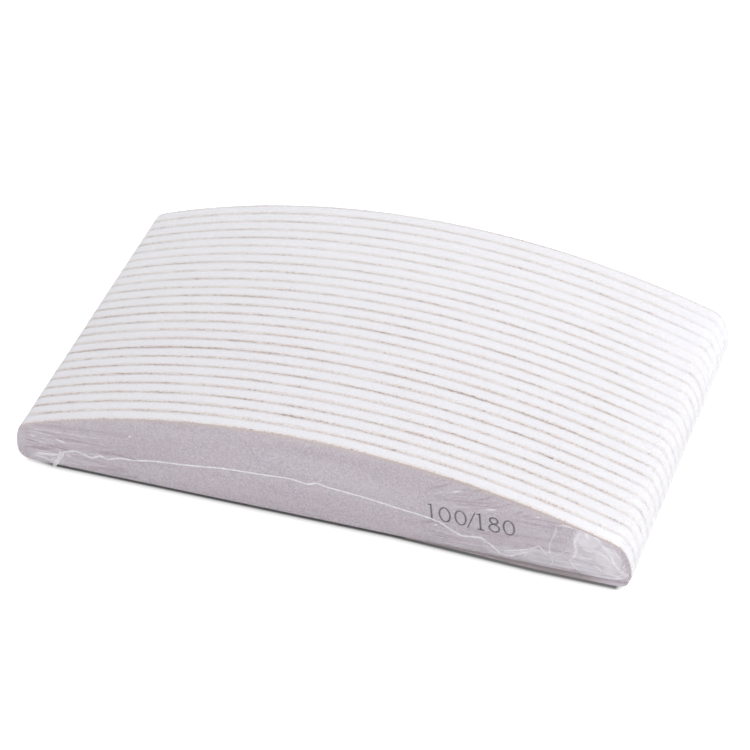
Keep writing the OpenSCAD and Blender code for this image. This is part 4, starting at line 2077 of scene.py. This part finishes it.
@dataclass(frozen=True)
class Viewpoint:
    """Where the photograph was taken from, in degrees and millimetres, and its focal length in pixels."""

    azimuth: float = 24.801
    elevation: float = 41.925
    roll: float = -6.3205
    distance: float = 783.66
    target: tuple[float, float, float] = (1.48, -1.95, 12.67)
    focal_px: float = 2821.6
    picture_px: float = 750.0
    sensor: float = 36.0
    clip: tuple[float, float] = (0.01, 20)

    def place(self, base: float) -> None:
        """Makes the camera and looks at the bundle.

        Args:
            base: Height of the boards' straight edge, from which the target is counted.
        """
        az, el, roll = (math.radians(a) for a in (self.azimuth, self.elevation, self.roll))
        back = Vector((math.sin(az) * math.cos(el), -math.cos(az) * math.cos(el), math.sin(el)))
        level = Vector((0, 0, 1)).cross(back).normalized()
        rise = back.cross(level)
        right = math.cos(roll) * level + math.sin(roll) * rise
        up = -math.sin(roll) * level + math.cos(roll) * rise
        at = (Vector(self.target) + Vector((0, 0, base)) + back * self.distance) * MM
        lens = bpy.data.cameras.new("camera")
        lens.sensor_width = self.sensor
        lens.lens = self.focal_px / self.picture_px * self.sensor
        lens.clip_start, lens.clip_end = self.clip
        camera = bpy.data.objects.new("camera", lens)
        bpy.context.scene.collection.objects.link(camera)
        turn = Matrix((right, up, back)).transposed().to_4x4()
        camera.matrix_world = Matrix.Translation(at) @ turn
        bpy.context.scene.camera = camera


@dataclass(frozen=True)
class Lamp:
    """A soft square lamp that points at the bundle."""

    name: str
    towards: tuple[float, float, float]
    distance: float
    size: float
    level: float

    def place(self) -> None:
        """Hangs the lamp so that a level surface that faces it gets its level of light."""
        way = Vector(self.towards).normalized()
        light = bpy.data.lights.new(self.name, "AREA")
        light.shape = "SQUARE"
        light.size = self.size
        light.energy = self.level * (math.pi * self.distance) ** 2
        lamp = bpy.data.objects.new(self.name, light)
        lamp.location = way * self.distance
        lamp.rotation_mode = "QUATERNION"
        lamp.rotation_quaternion = way.to_track_quat("Z", "Y")
        bpy.context.scene.collection.objects.link(lamp)


@dataclass
class Studio:
    """Floor, world and lamps: a white table in soft light from the upper right.

    The floor's painted shadow, a darker colour with less glow, fades with the distance from the bundle. Under
    the roll of film it starts further out, by the third value of roll at the second, from none at the first.
    At each end it fades faster.
    """

    footprint: tuple[float, float]
    floor_size: float = 6.0
    sky: float = 0.685
    glow: float = 0.6
    shade_fade: float = 0.72
    shade_start: float = 0.37
    roll: tuple[float, float, float] = (22.0, 63.0, 1.72)
    ends: tuple[float, float] = (-79.0, 85.0)
    end_fades: tuple[float, float] = (0.14, 0.6)
    # Colour of the floor in its painted shadow.
    painted_shadow_tone: float = 0.27
    floor_tones: tuple[Colour, Colour] = ((0.80, 0.80, 0.80), (0.84, 0.84, 0.84))
    floor_grain: float = 500.0
    lamps: tuple[Lamp, ...] = (
        Lamp("key", (0.62, 0.12, 0.78), 1.6, 1.1, 0.382),
        Lamp("front", (0.35, -0.85, 0.45), 1.8, 1.2, 0.08),
    )

    def seen(self, graph: Graph) -> Socket:
        """Tells camera, mirror and glass rays from the rays that light the object.

        Args:
            graph: The graph of the world or of the floor.

        Returns:
            1 for the rays that see, 0 for those that light.
        """
        path = graph.add("LightPath").outputs
        either = graph.math("MAXIMUM", path["Is Camera Ray"], path["Is Glossy Ray"])
        return graph.math("MAXIMUM", either, path["Is Transmission Ray"])

    def world(self) -> None:
        """Makes a world that lights softly and is seen as white."""
        world = bpy.data.worlds.new("studio")
        world.use_nodes = True
        bpy.context.scene.world = world
        graph = Graph(world.node_tree)
        strength = graph.math("MAXIMUM", self.seen(graph), self.sky)
        back = graph.add("Background", {0: (1, 1, 1, 1), 1: strength})
        graph.add("OutputWorld", {0: back.outputs[0]})

    def floor_material(self) -> bpy.types.Material:
        """Makes the white floor, which glows for the camera except right beside the bundle, where a painted
        shadow darkens it.

        Returns:
            The material.
        """
        material = bpy.data.materials.new("white_table")
        material.use_nodes = True
        graph = Graph(material.node_tree)
        at = graph.axes()
        half_x, half_y = (half * MM for half in self.footprint)
        roll_from, roll_to, roll_out = (stop * MM for stop in self.roll)
        past_end = graph.math("SUBTRACT", graph.math("ABSOLUTE", at[0]), half_x)
        forward = graph.multiply(at[1], -1.0)
        past_front = graph.math("SUBTRACT", forward, half_y - self.shade_start * MM)
        roll_out_at = graph.spread(at[0], roll_from, roll_to, 0, roll_out)
        past_roll = graph.math("SUBTRACT", past_front, roll_out_at)
        past_side = graph.math("MAXIMUM", past_roll, graph.math("SUBTRACT", at[1], half_y))
        outside = [graph.math("MAXIMUM", past, 0.0) for past in (past_end, past_side)]
        squares = [graph.multiply(way, way) for way in outside]
        distance = graph.math("SQRT", graph.math("ADD", *squares))
        for side, stop, fade in zip((-1, 1), self.ends, self.end_fades):
            beyond = graph.math("SUBTRACT", graph.multiply(at[0], side), side * stop * MM)
            near_end = graph.multiply(graph.math("MAXIMUM", beyond, 0.0), fade)
            distance = graph.math("ADD", distance, near_end)
        # Painted shadow: near the bundle the floor takes a darker colour and loses its glow.
        shaded = graph.math("EXPONENT", graph.math("DIVIDE", distance, -self.shade_fade * MM))
        clear = graph.multiply(graph.math("SUBTRACT", 1.0, shaded), self.glow)
        grain = graph.add("TexNoise", {"Vector": graph.point(), "Scale": self.floor_grain})
        bare = graph.blend(grain.outputs[0], *self.floor_tones)
        colour = graph.blend(shaded, bare, (self.painted_shadow_tone,) * 3)
        shader = graph.add("BsdfDiffuse", {"Color": colour})
        glow = graph.add("Emission", {1: graph.multiply(clear, self.seen(graph))})
        both = graph.add("AddShader", {0: shader.outputs[0], 1: glow.outputs[0]})
        graph.add("OutputMaterial", {0: both.outputs[0]})
        return material

    def build(self) -> None:
        """Lays the floor and hangs the lamps."""
        self.world()
        bpy.ops.mesh.primitive_plane_add(size=self.floor_size, location=(0, 0, 0))
        floor = bpy.context.object
        floor.name = "table_top"
        floor.data.materials.append(self.floor_material())
        for lamp in self.lamps:
            lamp.place()
        bpy.context.scene.view_settings.view_transform = "Standard"
        log.info("studio: %d lamps", len(self.lamps))


def main() -> None:
    """Builds the bundle piece by piece, then the studio."""
    logging.basicConfig(level=logging.INFO, format="%(name)s: %(message)s")
    end_inset = 2.4
    low, high = (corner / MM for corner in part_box("board_01_core"))
    outline = HalfMoon(half_length=high.x, height=high.z - low.z, base=low.z)
    count = sum(name.endswith("_core") for name in frame["nodes"])
    finishes = Finishes(crown=(outline.base + outline.height - outline.crown_r, outline.crown_r))
    Viewpoint().place(outline.base)
    BoardStack(outline, finishes, count).build()
    front_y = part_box("board_01_sheets")[0].y / MM
    GritNumbers(outline.base, front_y, finishes).build()
    film = ShrinkFilm(outline, finishes)
    film.build()
    Studio((film.high.x - end_inset, film.high.y)).build()


if __name__ == "__main__":
    main()
